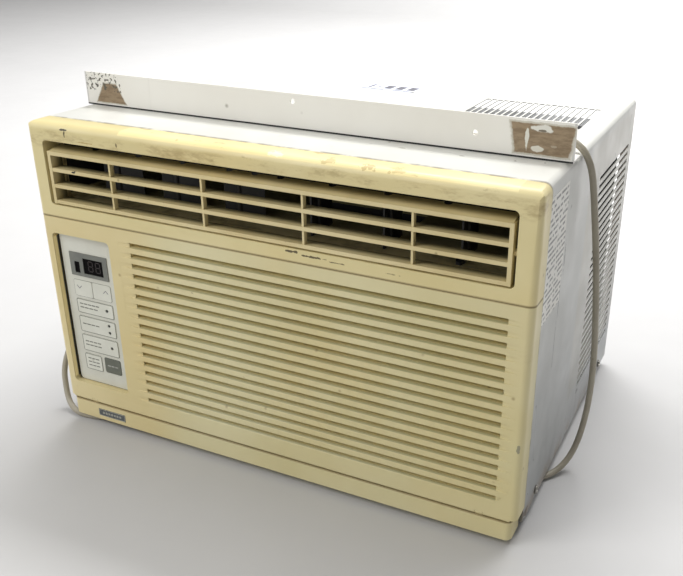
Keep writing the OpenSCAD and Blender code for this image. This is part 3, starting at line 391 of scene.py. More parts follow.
@dataclass(frozen=True)
class AgedMoulding(Finish):
    """Cream moulding gone yellow: warmer above the parting line, dark with depth, grime along its edges."""

    deep: Colour = srgb(112, 104, 70)
    deep_to: float = FRONT + 0.030
    deep_share: float = 0.0
    recesses: bool = False

    def hollows(self, w: Wiring, p: Socket, colour: Socket) -> Socket:
        """Painted shade on the ramps of the intake slots and painted light deeper in them; a painted
        highlight on the wall by the controls, with a black line of painted shadow in the gap beside it.
        """
        x, y, z = w.axes(p)
        along = w.between(x, *INTAKE_X)
        ramp = w.times(w.between(y, FRONT + 0.0002, FRONT + 0.0010, FRONT + 0.0018, FRONT + 0.0028),
                       w.between(z, *INTAKE_Z), along)
        # Painted shade: the front ramps of the intake slots are darkened to olive, where the bar above would
        # shade them.
        colour = w.tint(ramp, colour, (0.56, 0.58, 0.52))
        # Painted light: deeper in the intake slots the colour is brightened.
        colour = w.tint(w.times(along, w.span(y, FRONT + 0.0018, FRONT + 0.0028)), colour, (1.20, 1.20, 1.20))
        worn = w.times(w.span(x, -0.085, -0.135, 0.0, 0.8), w.span(z, 0.2165, 0.2150))
        colour = w.tint(worn, colour, (1.03, 0.955, 0.86))
        wall = w.times(w.between(x, *WALL_X), w.between(z, *WALL_Z),
                       w.span(y, FRONT + 0.0004, FRONT + 0.0010))
        # Painted highlight: the wall left of the controls is brightened.
        colour = w.tint(wall, colour, (1.30, 1.27, 1.16))
        # Painted shadow: a black line in the gap between the wall and the control plate.
        return w.mix(w.times(wall, w.between(x, *CRACK_X)), colour, SCUFF_AND_SHADOW_BLACK)

    def colours(self, w: Wiring, fx: Effects, p: Socket) -> Socket:
        """Adds ageing, darkening with depth, seam grime and rubs to the plain colours."""
        x, y, z = w.axes(p)
        colour = super().colours(w, fx, p)
        streak = w.use(fx.streaks, Vector=p, Scale=30.0, Stretch=(0.25, 1.0, 1.0), Cover=0.42)
        colour = w.mix(w.times(streak, 0.22), colour, srgb(176, 156, 104))
        colour = w.tint(w.span(z, 0.214, 0.217, 0.0, 0.75), colour, (1.03, 0.97, 0.83))
        for middle in (PARTING, CHIN_SEAM):
            joint = w.use(fx.band, Value=z, Middle=middle, Width=0.0005)
            colour = w.mix(w.times(joint, 0.55), colour, srgb(112, 88, 52))
        patchy = w.span(w.noise(w.vec("MULTIPLY", p, (0.5, 1.0, 1.6)), 48.0, 5.0, 0.7), 0.46, 0.66)
        lip = w.times(w.use(fx.band, Value=z, Middle=0.2885, Width=0.0034), patchy)
        colour = w.mix(w.times(lip, 0.55), colour, srgb(148, 122, 72))
        colour = w.tint(w.span(w.noise(p, 7.0), 0.50, 0.72, 0.0, 0.5), colour, (1.0, 0.93, 0.80))
        ragged = w.times(w.use(fx.band, Value=y, Middle=FRONT + 0.0225, Width=0.0006),
                         w.span(w.noise(p, 60.0, 4.0), 0.38, 0.6))
        colour = w.mix(w.times(ragged, 0.8), colour, BROWN_DIRT)
        colour = w.mix(w.span(y, FRONT + 0.003, self.deep_to, 0.0, self.deep_share), colour, self.deep)
        if self.recesses:
            colour = self.hollows(w, p, colour)
        rub = w.times(w.span(w.noise(w.vec("MULTIPLY", p, (0.35, 1.0, 1.0)), 70.0, 5.0, 0.7), 0.60, 0.70),
                      w.span(z, 0.285, 0.299))
        return w.mix(w.times(rub, 0.55), colour, srgb(150, 128, 78))


@dataclass(frozen=True)
class Enamel(Finish):
    """White baked enamel on steel: runs of dirt, hairline scratches, painted shade on the sides, grime low
    down.
    """

    runs: float = 0.35

    def colours(self, w: Wiring, fx: Effects, p: Socket) -> Socket:
        """Adds runs of dirt, hairlines, painted shade on the sides and grime near the seams to the plain
        colours.
        """
        x, y, z = w.axes(p)
        colour = super().colours(w, fx, p)
        run = w.use(fx.streaks, Vector=p, Scale=55.0, Stretch=(1.0, 1.0, 0.08), Cover=0.40)
        colour = w.mix(w.times(run, self.runs), colour, srgb(150, 144, 130))
        hair = w.use(fx.scratches, Vector=w.vec("MULTIPLY", p, (1.0, 1.0, 0.18)), Scale=60.0, Width=0.010,
                     Share=0.40)
        side = w.span(w.math("ABSOLUTE", x), 0.2300, 0.2306)
        # Painted shade: the cabinet sides are darkened and greyed, more towards the bottom.
        colour = w.tint(w.times(side, w.span(z, 0.26, 0.02, 0.45, 1.0)), colour, (0.50, 0.52, 0.56))
        bank = w.times(side, w.span(y, FRONT + 0.150, FRONT + 0.160),
                       w.between(z, 0.050, 0.060, 0.290, 0.300))
        colour = w.tint(w.times(bank, 0.6), colour, (1.0, 0.95, 0.86))
        colour = w.mix(w.times(hair, side, 0.75), colour, srgb(84, 82, 76))
        low = w.times(w.span(z, 0.030, 0.011), w.span(w.noise(p, 45.0, 5.0), 0.4, 0.62))
        colour = w.mix(w.times(low, 0.6), colour, srgb(134, 112, 84))
        seam = w.times(w.use(fx.band, Value=y, Middle=FRONT + 0.0232, Width=0.0009),
                       w.span(w.noise(p, 60.0, 4.0), 0.35, 0.6))
        return w.mix(w.times(seam, 0.6), colour, BROWN_DIRT)


@dataclass(frozen=True)
class RailEnamel(Enamel):
    """The rail's enamel with bare brown glue where tape was torn off both ends."""

    scraps: tuple[Mark, ...] = (
        mark(206, 78, 325.5, 9, 4, 3.4, srgb(228, 226, 216), 1, 0.5, 150),
        mark(195, 78, 317, 1.5, 4, 9, srgb(226, 224, 212), 1, 0.5, 150),
        mark(204, 78, 310, 5.5, 4, 2.2, srgb(222, 218, 204), 1, 0.7, 170),
        mark(206, 78, 324, 3.2, 4, 0.9, srgb(120, 112, 96), 1, 0.6, 170),
        mark(216, 78, 313, 3.5, 4, 1.2, srgb(182, 170, 148), 0.7, 1.0, 260))

    def colours(self, w: Wiring, fx: Effects, p: Socket) -> Socket:
        """Adds the torn patches, the paper left on them and black flecks."""
        colour = super().colours(w, fx, p)
        front = w.span(w.axes(p)[1], FRONT + 0.0796, FRONT + 0.0792)
        glue = w.mix(w.span(w.noise(w.vec("MULTIPLY", p, (1.0, 1.0, 3.0)), 120.0, 4.0), 0.35, 0.65),
                     srgb(156, 136, 108), srgb(134, 114, 88))
        for x, z, half, high, taper, rag in ((0.2068, 0.3172, 0.0236, 0.0118, -0.08, 0.10),
                                             (-0.2035, 0.3140, 0.0125, 0.0090, 0.42, 0.12)):
            for wider, taller, shade in ((1.07, 1.12, srgb(205, 200, 186)), (1.0, 1.0, glue)):
                patch = w.use(fx.torn, Vector=p, Centre=(x, FRONT + 0.078, z), Half_width=half * wider,
                              Half_height=high * taller, Taper=taper, Rag=rag)
                colour = w.mix(w.times(patch, front), colour, shade)
        for scrap in self.scraps:
            colour = self.marked(w, fx, p, colour, scrap, front)
        corner = w.use(fx.torn, Vector=p, Centre=(-0.2115, FRONT + 0.078, 0.3235), Half_width=0.020,
                       Half_height=0.0085, Taper=0.1, Rag=0.5)
        fleck = w.times(corner, w.span(w.noise(p, 260.0, 4.0, 0.65), 0.53, 0.58))
        return w.mix(fleck, colour, srgb(92, 88, 76))


@dataclass(frozen=True)
class FinStock(Finish):
    """Aluminium fins edge on: fine upright lines, with patches bent over."""

    pitch: float = 0.0018

    def colours(self, w: Wiring, fx: Effects, p: Socket) -> Socket:
        """Painted shade: dark gaps between the fins, lighter where the fins are bent."""
        colour = super().colours(w, fx, p)
        x, _, _ = w.axes(p)
        bent = w.times(w.span(w.noise(p, 26.0, 4.0), 0.55, 0.62), 0.0006)
        s = w.math("SINE", w.times(w.math("ADD", x, bent), 2 * math.pi / self.pitch))
        # Painted shade: near black between the fin lines, standing in for the shade in the gaps.
        return w.mix(w.span(s, -0.2, 0.7, 0.0, 0.85), colour, (0.02, 0.02, 0.02))


@dataclass(frozen=True)
class DuctFloor(Finish):
    """Lining of the air duct: dark all over but for a dusty cream floor near the outlet."""

    floor: Colour = srgb(218, 209, 170)
    # Darker floor colour: painted shade with depth, and random darker patches.
    shade: Colour = srgb(150, 143, 106)

    def colours(self, w: Wiring, fx: Effects, p: Socket) -> Socket:
        """Cream below a set height, with painted shade deepening towards the back and darker patches at
        random, and gone at the vanes' far side.
        """
        _, y, z = w.axes(p)
        low = w.span(z, 0.2340, 0.2310)
        # Painted shade: the cream floor darkens towards the back of the duct.
        floor = w.mix(w.span(y, FRONT + 0.030, FRONT + 0.070), self.floor, self.shade)
        floor = w.mix(w.span(w.noise(p, 55.0, 5.0), 0.45, 0.70, 0.0, 0.6), floor, self.shade)
        return w.mix(low, super().colours(w, fx, p), floor)


@dataclass(frozen=True)
class Mesh(Finish):
    """Woven filter mesh: a light thread grid over dark gaps."""

    pitch: float = 0.0016

    def colours(self, w: Wiring, fx: Effects, p: Socket) -> Socket:
        """Threads where either sine is high."""
        x, _, z = w.axes(p)
        a = w.math("SINE", w.times(x, 2 * math.pi / self.pitch))
        b = w.math("SINE", w.times(z, 2 * math.pi / self.pitch))
        thread = w.span(w.math("MAXIMUM", a, b), 0.35, 0.75)
        return w.mix(thread, self.second, super().colours(w, fx, p))


@dataclass(frozen=True)
class Print(Finish):
    """Printed rows on an upright side: dashes of uneven length with no letters."""

    row: float = 0.0046
    ink: Colour = srgb(74, 74, 72)

    def colours(self, w: Wiring, fx: Effects, p: Socket) -> Socket:
        """Ink where a row's sine is high and a noise, stepped from row to row, is high too."""
        _, y, z = w.axes(p)
        rows = w.span(w.math("SINE", w.times(z, 2 * math.pi / self.row)), -0.1, 0.35)
        step = w.add("CombineXYZ", {0: w.times(y, 120.0),
                                    1: w.times(w.math("FLOOR", w.times(z, 1 / self.row)), 3.7)})
        words = w.span(w.noise(step.outputs[0], 1.0, 2.0), 0.44, 0.47)
        fine = w.span(w.noise(w.vec("MULTIPLY", p, (1.0, 1.0, 0.4)), 900.0, 2.0), 0.34, 0.44)
        column = w.span(w.math("ABSOLUTE", w.math("SUBTRACT", y, PRINT_Y)), 0.0008, 0.0014)
        return w.mix(w.times(rows, words, fine, column, 0.85), super().colours(w, fx, p), self.ink)


# ---------------- mesh tools
def mesh_object(name: str, verts: np.ndarray, faces: list, material: Material | None = None,
                smooth: float = 30.0) -> Piece:
    """Makes a mesh object at the origin.

    Args:
        name: Object name.
        verts: Points, n by 3.
        faces: Index lists.
        material: Its material.
        smooth: Edges sharper than this many degrees stay sharp.

    Returns:
        The object.
    """
    mesh = bpy.data.meshes.new(name)
    mesh.from_pydata(np.asarray(verts, float).reshape(-1, 3).tolist(), [], [list(map(int, f)) for f in faces])
    mesh.polygons.foreach_set("use_smooth", [True] * len(mesh.polygons))
    mesh.set_sharp_from_angle(angle=math.radians(smooth))
    obj = bpy.data.objects.new(name, mesh)
    bpy.context.scene.collection.objects.link(obj)
    if material is not None:
        mesh.materials.append(material)
    return obj


def grid_faces(rows: int, cols: int, close_rows: bool = False, close_cols: bool = False) -> np.ndarray:
    """Quads of a grid of rows by cols points, numbered row by row; closed ways wrap round."""
    r = np.arange(rows if close_rows else rows - 1)
    c = np.arange(cols if close_cols else cols - 1)
    i, j = np.meshgrid(r, c, indexing="ij")
    i2, j2 = (i + 1) % rows, (j + 1) % cols
    return np.stack([i * cols + j, i * cols + j2, i2 * cols + j2, i2 * cols + j], -1).reshape(-1, 4)


def outline(width: float, height: float, radius: float, steps: int = 6) -> np.ndarray:
    """Rounded rectangle round the origin: four quarter circles joined by straight runs, n by 2."""
    a = np.linspace(0, math.pi / 2, steps + 1)
    corners = []
    for k, (sx, sy) in enumerate(((1, 1), (-1, 1), (-1, -1), (1, -1))):
        t = a + k * math.pi / 2
        corners.append(np.stack([sx * (width / 2 - radius) + radius * np.cos(t),
                                 sy * (height / 2 - radius) + radius * np.sin(t)], -1))
    return np.concatenate(corners)


def face_sheet(name: str, centre: Point, right: Point, up: Point, size: tuple[float, float], radius: float,
               thick: float, material: Material) -> Piece:
    """A thin rounded sheet lying on a surface, such as a label.

    The rim follows a rounded rectangle; a second rim seven tenths of a
    thickness above it, a third, slightly smaller rim a thickness above it
    and one face across it close the crown.

    Args:
        name: Object name.
        centre: Middle of its back.
        right: Unit vector across it.
        up: Unit vector up it.
        size: Width and height.
        radius: Corner radius.
        thick: Thickness.
        material: Its material.

    Returns:
        The object.
    """
    c, r, u = (np.array(v, float) for v in (centre, right, up))
    out = np.cross(r, u)
    rings = []
    for inset, lift in ((0.0, 0.0), (0.0, thick * 0.7), (thick * 0.5, thick)):
        o = outline(size[0] - 2 * inset, size[1] - 2 * inset, max(radius - inset, 1e-4))
        rings.append(c + o[:, :1] * r + o[:, 1:] * u + lift * out)
    n = len(rings[0])
    verts = np.concatenate(rings)
    faces = grid_faces(3, n, close_cols=True).tolist() + [list(range(2 * n, 3 * n)), list(range(n))[::-1]]
    return mesh_object(name, verts, faces, material)


def softened(node: str, material: Material, width: float = 0.0006, segments: int = 2) -> Piece:
    """A copy of a CAD node with its doubles merged and its hard edges rounded.

    Args:
        node: The CAD node, which the copy replaces.
        material: Its material.
        width: Width of the rounding.
        segments: Facets of the rounding.

    Returns:
        The new object, riding where the node rides.
    """
    mesh = frame["nodes"][node].data.copy()
    bm = bmesh.new()
    bm.from_mesh(mesh)
    bmesh.ops.remove_doubles(bm, verts=bm.verts, dist=1e-6)
    bmesh.ops.dissolve_limit(bm, angle_limit=math.radians(0.4), verts=bm.verts, edges=bm.edges)
    bm.to_mesh(mesh)
    bm.free()
    mesh.materials.clear()
    mesh.materials.append(material)
    mesh.polygons.foreach_set("use_smooth", [True] * len(mesh.polygons))
    mesh.set_sharp_from_angle(angle=math.radians(35))
    obj = bpy.data.objects.new(node + "_finished", mesh)
    bpy.context.scene.collection.objects.link(obj)
    bevel = obj.modifiers.new("soft_edges", "BEVEL")
    bevel.width, bevel.segments, bevel.limit_method = width, segments, "ANGLE"
    bevel.angle_limit, bevel.use_clamp_overlap, bevel.miter_outer = math.radians(35), True, "MITER_SHARP"
    weigh = obj.modifiers.new("flat_faces", "WEIGHTED_NORMAL")
    weigh.mode, weigh.keep_sharp = "FACE_AREA", True
    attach(obj, NODE_BODY[node])
    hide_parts(node)
    return obj


def strips(name: str, paths: list[np.ndarray], width: float, thick: float, y: float,
           material: Material, closed: bool = False) -> Piece:
    """Flat lines on an upright face, such as printed outlines.

    A four-cornered profile, width by thick, is carried along each path in the
    XZ plane, turned to the path's own normal at each point.

    Args:
        name: Object name.
        paths: Each n by 2: x and z.
        width: Line width.
        thick: How far it stands out to the front.
        y: The face's place.
        material: Its material.
        closed: Whether each path closes on itself.

    Returns:
        The object.
    """
    verts, faces, base = [], [], 0
    for path in paths:
        path = np.asarray(path, float)
        n = len(path)
        if closed:
            t = np.roll(path, -1, 0) - np.roll(path, 1, 0)
        else:
            t = np.gradient(path, axis=0)
        t /= np.linalg.norm(t, axis=1, keepdims=True)
        side = np.stack([-t[:, 1], t[:, 0]], -1) * width / 2
        a, b = path + side, path - side
        rows = [np.stack([q[:, 0], np.full(n, d), q[:, 1]], -1)
                for q, d in ((a, y), (a, y - thick), (b, y - thick), (b, y))]
        verts.append(np.stack(rows, 1).reshape(-1, 3))
        faces += (grid_faces(n, 4, close_rows=closed, close_cols=True) + base).tolist()
        if not closed:
            last = base + 4 * n - 1
            faces += [[base, base + 1, base + 2, base + 3], [last, last - 1, last - 2, last - 3]]
        base += 4 * n
    obj = mesh_object(name, np.concatenate(verts), faces, material)
    outward(obj)
    return obj


def outward(obj: Piece) -> None:
    """Turns every face of a closed mesh outwards."""
    bm = bmesh.new()
    bm.from_mesh(obj.data)
    bmesh.ops.recalc_face_normals(bm, faces=bm.faces)
    bm.to_mesh(obj.data)
    bm.free()


def turned(name: str, place: Point, axis: Point, radii: list[tuple[float, float]], material: Material,
           around: int = 32, dent: Callable | None = None) -> Piece:
    """A turned piece: a profile of (distance along, radius) carried round an axis.

    Args:
        name: Object name.
        place: Start of the axis.
        axis: Unit vector along it.
        radii: The profile; a radius of 0 at an end closes it in a pole.
        material: Its material.
        around: Points round the axis.
        dent: Optional function of the two cross coordinates and the distance, giving a new distance.

    Returns:
        The object.
    """
    a = np.array(axis, float)
    s = np.array((0.0, 0.0, 1.0)) if abs(a[2]) < 0.9 else np.array((1.0, 0.0, 0.0))
    s = np.cross(s, a)
    s /= np.linalg.norm(s)
    t = np.cross(a, s)
    k = np.linspace(0, 2 * math.pi, around, endpoint=False)
    h, r = (np.array(v)[:, None] for v in zip(*radii))
    c, d = r * np.cos(k), r * np.sin(k)
    run = np.broadcast_to(h, c.shape)
    if dent is not None:
        run = dent(c, d, run)
    pts = np.array(place, float) + run[..., None] * a + c[..., None] * s + d[..., None] * t
    faces = grid_faces(len(radii), around, close_cols=True).tolist()
    obj = mesh_object(name, pts.reshape(-1, 3), faces, material)
    bm = bmesh.new()
    bm.from_mesh(obj.data)
    bmesh.ops.remove_doubles(bm, verts=bm.verts, dist=1e-7)
    bmesh.ops.holes_fill(bm, edges=bm.edges)
    bmesh.ops.recalc_face_normals(bm, faces=bm.faces)
    bm.to_mesh(obj.data)
    bm.free()
    return obj


NODE_BODY = {n: b for b, nodes in frame["record"]["behaviour"]["bodies"].items() for n in nodes}


def dress(material: Material, *nodes: str) -> None:
    """Gives CAD nodes a material, leaving their meshes alone."""
    for n in nodes:
        data = frame["nodes"][n].data
        data.materials.clear()
        data.materials.append(material)


# ---------------- studio
@dataclass
class Studio:
    """Floor, lights and camera."""

    lens: float = 44.80
    place: Point = (0.36444, -0.70921, 0.47236)
    yaw: float = 24.316
    pitch: float = 24.204
    roll: float = 0.698
    shift: tuple[float, float] = (-0.0767, 0.0055)
    floor_colour: Colour = (0.55, 0.545, 0.54)

    def camera(self) -> None:
        """Sets the camera by its turn to the left, its dip and its roll."""
        y, p, q = (math.radians(v) for v in (self.yaw, self.pitch, self.roll))
        look = np.array([-math.sin(y) * math.cos(p), math.cos(y) * math.cos(p), -math.sin(p)])
        right = np.array([math.cos(y), math.sin(y), 0.0])
        up = np.cross(right, look)
        r2 = math.cos(q) * right + math.sin(q) * up
        u2 = -math.sin(q) * right + math.cos(q) * up
        data = bpy.data.cameras.new("camera")
        data.lens, data.sensor_width, data.sensor_fit = self.lens, 36.0, "HORIZONTAL"
        data.shift_x, data.shift_y = self.shift
        data.clip_start, data.clip_end = 0.02, 60.0
        cam = bpy.data.objects.new("camera", data)
        m = np.eye(4)
        m[:3, 0], m[:3, 1], m[:3, 2], m[:3, 3] = r2, u2, -look, self.place
        cam.matrix_world = Matrix(m.tolist())
        bpy.context.scene.collection.objects.link(cam)
        bpy.context.scene.camera = cam

    def floor(self, fx: Effects) -> None:
        """A pale floor that curves up into a backdrop all round the back."""
        u = np.linspace(0, 1, 49)
        v = np.linspace(-1, 1, 3)
        run, radius = 3.2, 1.2
        y = np.where(u < 0.5, -2.6 + u * 2 * (run + 2.6), run + radius * np.sin((u - 0.5) * math.pi))
        z = np.where(u < 0.5, 0.0, radius * (1 - np.cos((u - 0.5) * math.pi)))
        y, z = np.append(y, run + radius), np.append(z, 4.0)
        pts = np.stack([np.broadcast_to(v[None] * 6, (len(y), 3)), np.broadcast_to(y[:, None], (len(y), 3)),
                        np.broadcast_to(z[:, None], (len(y), 3))], -1)
        lighter = tuple(c * 1.03 for c in self.floor_colour)
        finish = Finish("pale_floor", self.floor_colour, lighter, rough=0.75, specular=0.2, speck_share=0.0,
                        grain_depth=0.0)
        floor = mesh_object("floor", pts, grid_faces(len(y), 3)[:, ::-1], finish.build(fx))

    def light(self, name: str, place: Point, target: Point, size: float, power: float,
              colour: Colour = (1.0, 1.0, 1.0)) -> None:
        """One square soft light aimed at a point."""
        data = bpy.data.lights.new(name, "AREA")
        data.size, data.energy, data.color = size, power, colour
        obj = bpy.data.objects.new(name, data)
        obj.location = place
        obj.rotation_euler = (Vector(target) - Vector(place)).to_track_quat("-Z", "Y").to_euler()
        bpy.context.scene.collection.objects.link(obj)

    def build(self, fx: Effects) -> None:
        """Camera, floor, five soft lights and a pale surround."""
        self.camera()
        self.floor(fx)
        self.light("key_light", (-1.15, -1.45, 1.75), (-0.05, 0.0, 0.15), 1.1, 24.0)
        self.light("front_light", (-0.35, -1.9, 0.62), (-0.05, 0.0, 0.15), 1.5, 5.5)
        self.light("top_light", (0.05, 0.55, 2.2), (0.0, 0.0, 0.2), 1.8, 29.0)
        self.light("fill_light", (1.9, -0.6, 0.9), (0.0, 0.0, 0.15), 1.4, 0.6)
        self.light("backdrop_light", (0.0, 1.5, 2.9), (0.0, 4.0, 0.4), 2.4, 235.0)
        world = bpy.data.worlds.new("surround")
        bpy.context.scene.world = world
        world.use_nodes = True
        back = world.node_tree.nodes["Background"]
        back.inputs[0].default_value, back.inputs[1].default_value = (1.0, 1.0, 1.0, 1.0), 0.21
        bpy.context.scene.view_settings.view_transform = "Standard"


# ---------------- cord
@dataclass
class PowerCord:
    """The mains cord: one tube on given points, its strain relief and its plug."""

    diameter: float = 0.0056
    points: tuple[Point, ...] = (
        (-148, 12, 15), (-158, 12, 15), (-170, 11, 13), (-184, 9, 8.5),
        (-198, 7, 4.5), (-212, 5, 2.9), (-225, 4, 2.9), (-237, 6, 4.5),
        (-247.5, 11, 10.5), (-254, 16, 21.5), (-258, 21, 36), (-258, 29, 53),
        (-253, 45, 78), (-244.5, 68, 115), (-238.5, 90, 160), (-236.5, 104, 205),
        (-238, 111, 245), (-240.5, 112, 268), (-241, 112, 284), (-238, 112, 296),
        (-231, 112, 306), (-221, 112, 312), (-209, 112, 313.5), (-195, 112, 310.5),
        (-178, 112, 306.4), (-150, 112, 305), (-80, 112, 304.9), (0, 112, 304.9),
        (80, 112, 304.9), (150, 112, 305), (178, 112, 306.4), (195, 112, 310.3),
        (209, 112, 313), (220, 112.5, 311.2), (230, 113, 305), (236, 114, 295.8),
        (239.5, 116, 284), (242, 119, 266), (244.5, 122, 244), (247.5, 126, 215),
        (251, 130, 174), (254, 135, 124), (254, 139, 78), (251, 139, 42),
        (246, 131, 18), (238, 116, 6.2), (226, 100, 3.2), (208, 88, 2.9),
        (180, 85, 2.9), (140, 100, 2.9), (100, 130, 2.9), (60, 170, 2.9),
        (25, 215, 2.9), (0, 260, 2.9), (-15, 310, 2.9), (-20, 350, 2.9),
        (-20, 375, 4.7), (-20, 395, 9))

    def route(self, steps: int = 4) -> np.ndarray:
        """Points along the cord, in metres: a Catmull-Rom curve through the given ones.

        Args:
            steps: Points for each stretch.

        Returns:
            The points, n by 3.
        """
        p = (np.array(self.points, float) + (0, FRONT * 1000, 0)) / 1000
        q = np.concatenate([p[:1], p, p[-1:]])
        t = np.linspace(0, 1, steps, endpoint=False)[None, :, None]
        a, b, c, d = (q[k:len(q) - 3 + k, None] for k in range(4))
        curve = 0.5 * (2 * b + (c - a) * t + (2 * a - 5 * b + 4 * c - d) * t**2
                       + (3 * b - a - 3 * c + d) * t**3)
        return np.concatenate([curve.reshape(-1, 3), p[-1:]])

    def boot(self, path: np.ndarray, jacket: Material) -> Piece:
        """The strain relief: a tapered ribbed sleeve carried along the cord's first 40 mm.

        The radius falls in a straight line from 5.6 to 4.0 mm and dips 0.5 mm
        between its ribs.
        """
        run = np.concatenate([[0], np.cumsum(np.linalg.norm(np.diff(path, axis=0), axis=1))])
        at = np.linspace(0.0, 0.040, 41)
        p = np.stack([np.interp(at, run, path[:, k]) for k in range(3)], -1)
        t = np.gradient(p, axis=0)
        t /= np.linalg.norm(t, axis=1, keepdims=True)
        s = np.cross(t, (0.0, 0.0, 1.0))
        s /= np.linalg.norm(s, axis=1, keepdims=True)
        u = np.cross(s, t)
        radius = np.linspace(0.0056, 0.0040, 41) - 0.0005 * (np.arange(41) % 5 == 0) * (np.arange(41) > 2)
        a = np.linspace(0, 2 * math.pi, 24, endpoint=False)
        ring = np.cos(a)[None, :, None] * s[:, None] + np.sin(a)[None, :, None] * u[:, None]
        pts = p[:, None] + radius[:, None, None] * ring
        faces = grid_faces(41, 24, close_cols=True).tolist()
        faces += [list(range(24)), list(range(40 * 24, 41 * 24))[::-1]]
        obj = mesh_object("strain_relief_boot", pts.reshape(-1, 3), faces, jacket)
        outward(obj)
        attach(obj, "chassis")
        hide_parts("strain_relief")
        return obj

    def plug(self, jacket: Material) -> Piece:
        """The moulded plug: a superellipse section carried along Y.

        Its half width and half height grow from the cord's collar to the face,
        the exponent goes from 2, round, to 5, boxy, and shallow grooves cross
        the grip.
        """
        lo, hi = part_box("plug_body")
        f = np.linspace(0, 1, 49)
        grow = np.clip((f - 0.30) / 0.28, 0, 1)
        grow = grow * grow * (3 - 2 * grow)
        groove = 0.0006 * (np.sin(f * 70) > 0.2) * (f > 0.08) * (f < 0.34)
        groove = groove + 0.0007 * (np.sin(f * 60) > 0.5) * (f > 0.66) * (f < 0.9)
        close = np.minimum(1, ((1 - f) * 24 + 0.55)) * np.minimum(1, f * 30 + 0.75)
        half_w = (0.0050 + (0.0128 - 0.0050) * grow - groove) * close
        half_h = (0.0050 + (0.0088 - 0.0050) * grow - groove * 0.5) * close
        power = 2 / (2 + 3 * grow)
        a = np.linspace(0, 2 * math.pi, 40, endpoint=False)
        c, d = np.cos(a), np.sin(a)
        x = half_w[:, None] * np.sign(c) * np.abs(c) ** power[:, None]
        z = half_h[:, None] * np.sign(d) * np.abs(d) ** power[:, None]
        mid = ((lo.x + hi.x) / 2, (lo.z + hi.z) / 2)
        y = np.broadcast_to((lo.y + f * (hi.y - lo.y))[:, None], x.shape)
        pts = np.stack([mid[0] + x, y, mid[1] + z], -1)
        faces = grid_faces(49, 40, close_cols=True).tolist()
        faces += [list(range(40)), list(range(48 * 40, 49 * 40))[::-1]]
        obj = mesh_object("moulded_plug", pts.reshape(-1, 3), faces, jacket)
        outward(obj)
        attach(obj, "chassis")
        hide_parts("plug_body")
        return obj

    def build(self, jacket: Material) -> None:
        path = self.route()
        curve = bpy.data.curves.new("power_cord_run", "CURVE")
        curve.dimensions, curve.bevel_depth, curve.bevel_resolution = "3D", self.diameter / 2, 6
        curve.use_fill_caps = True
        spline = curve.splines.new("POLY")
        spline.points.add(len(path) - 1)
        spline.points.foreach_set("co", np.concatenate([path, np.ones((len(path), 1))], 1).ravel())
        spline.use_smooth = True
        cord = bpy.data.objects.new("power_cord_run", curve)
        bpy.context.scene.collection.objects.link(cord)
        curve.materials.append(jacket)
        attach(cord, NODE_BODY["power_cord"])
        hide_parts("power_cord")
        boot = self.boot(path, jacket)
        plug = self.plug(jacket)


class Inside:
    """The pieces behind the covers: each keeps its CAD shape and gets its finish."""

    finishes: dict[str, tuple[str, ...]] = {
        "galvanised_pan": ("base_pan", "bulkhead", "control_box", "motor_bracket"),
        "plated_screw": ("rail_screws", "cabinet_screws", "compressor_nuts", "motor_shaft"),
        "filter_mesh": ("air_filter",),
        "badge_face": ("nameplate",),
        "display_surround": ("display_bezel",),
        "tinted_window": ("display_window",),
        "lamp_lens": ("indicator_leds",),
        "circuit_mask": ("circuit_board",),
        "capacitor_can": ("run_capacitor",),
        "duct_lining": ("air_duct",),
        "black_plastic": ("scroll_housing", "blower_wheel", "condenser_fan", "condenser_shroud",
                          "terminal_cover", "left_vane_1", "left_vane_2", "left_vane_3", "left_tie_bar",
                          "right_vane_1", "right_vane_2", "right_vane_3", "right_tie_bar"),
        "fin_stock": ("evaporator_fins", "condenser_fins"),
        "copper_pipe": ("evaporator_tubes", "condenser_tubes", "suction_tube", "discharge_tube",
                        "capillary_tube", "accumulator"),
        "drain_plastic": ("drain_pan",), "motor_enamel": ("fan_motor",), "black_shell": ("compressor",),
        "rubber_mount": ("compressor_grommets",), "cord_jacket_finish": ("strain_relief", "plug_body"),
        "brass_blade": ("plug_blades",)}

    def build(self, mats: "Palette") -> None:
        """Dresses every node on the list."""
        for finish, nodes in self.finishes.items():
            dress(mats[finish], *nodes)
        log.info("inside: %d nodes dressed", sum(map(len, self.finishes.values())))


class KeyName(Enum):
    """The keys of the control panel and the body each rides on."""

    DOWN = "key_temp_down"
    UP = "key_temp_up"
    SAVER = "key_energy_saver"
    MODE = "key_mode"
    TIMER = "key_timer"
    FAN = "key_fan_speed"
    POWER = "key_power"


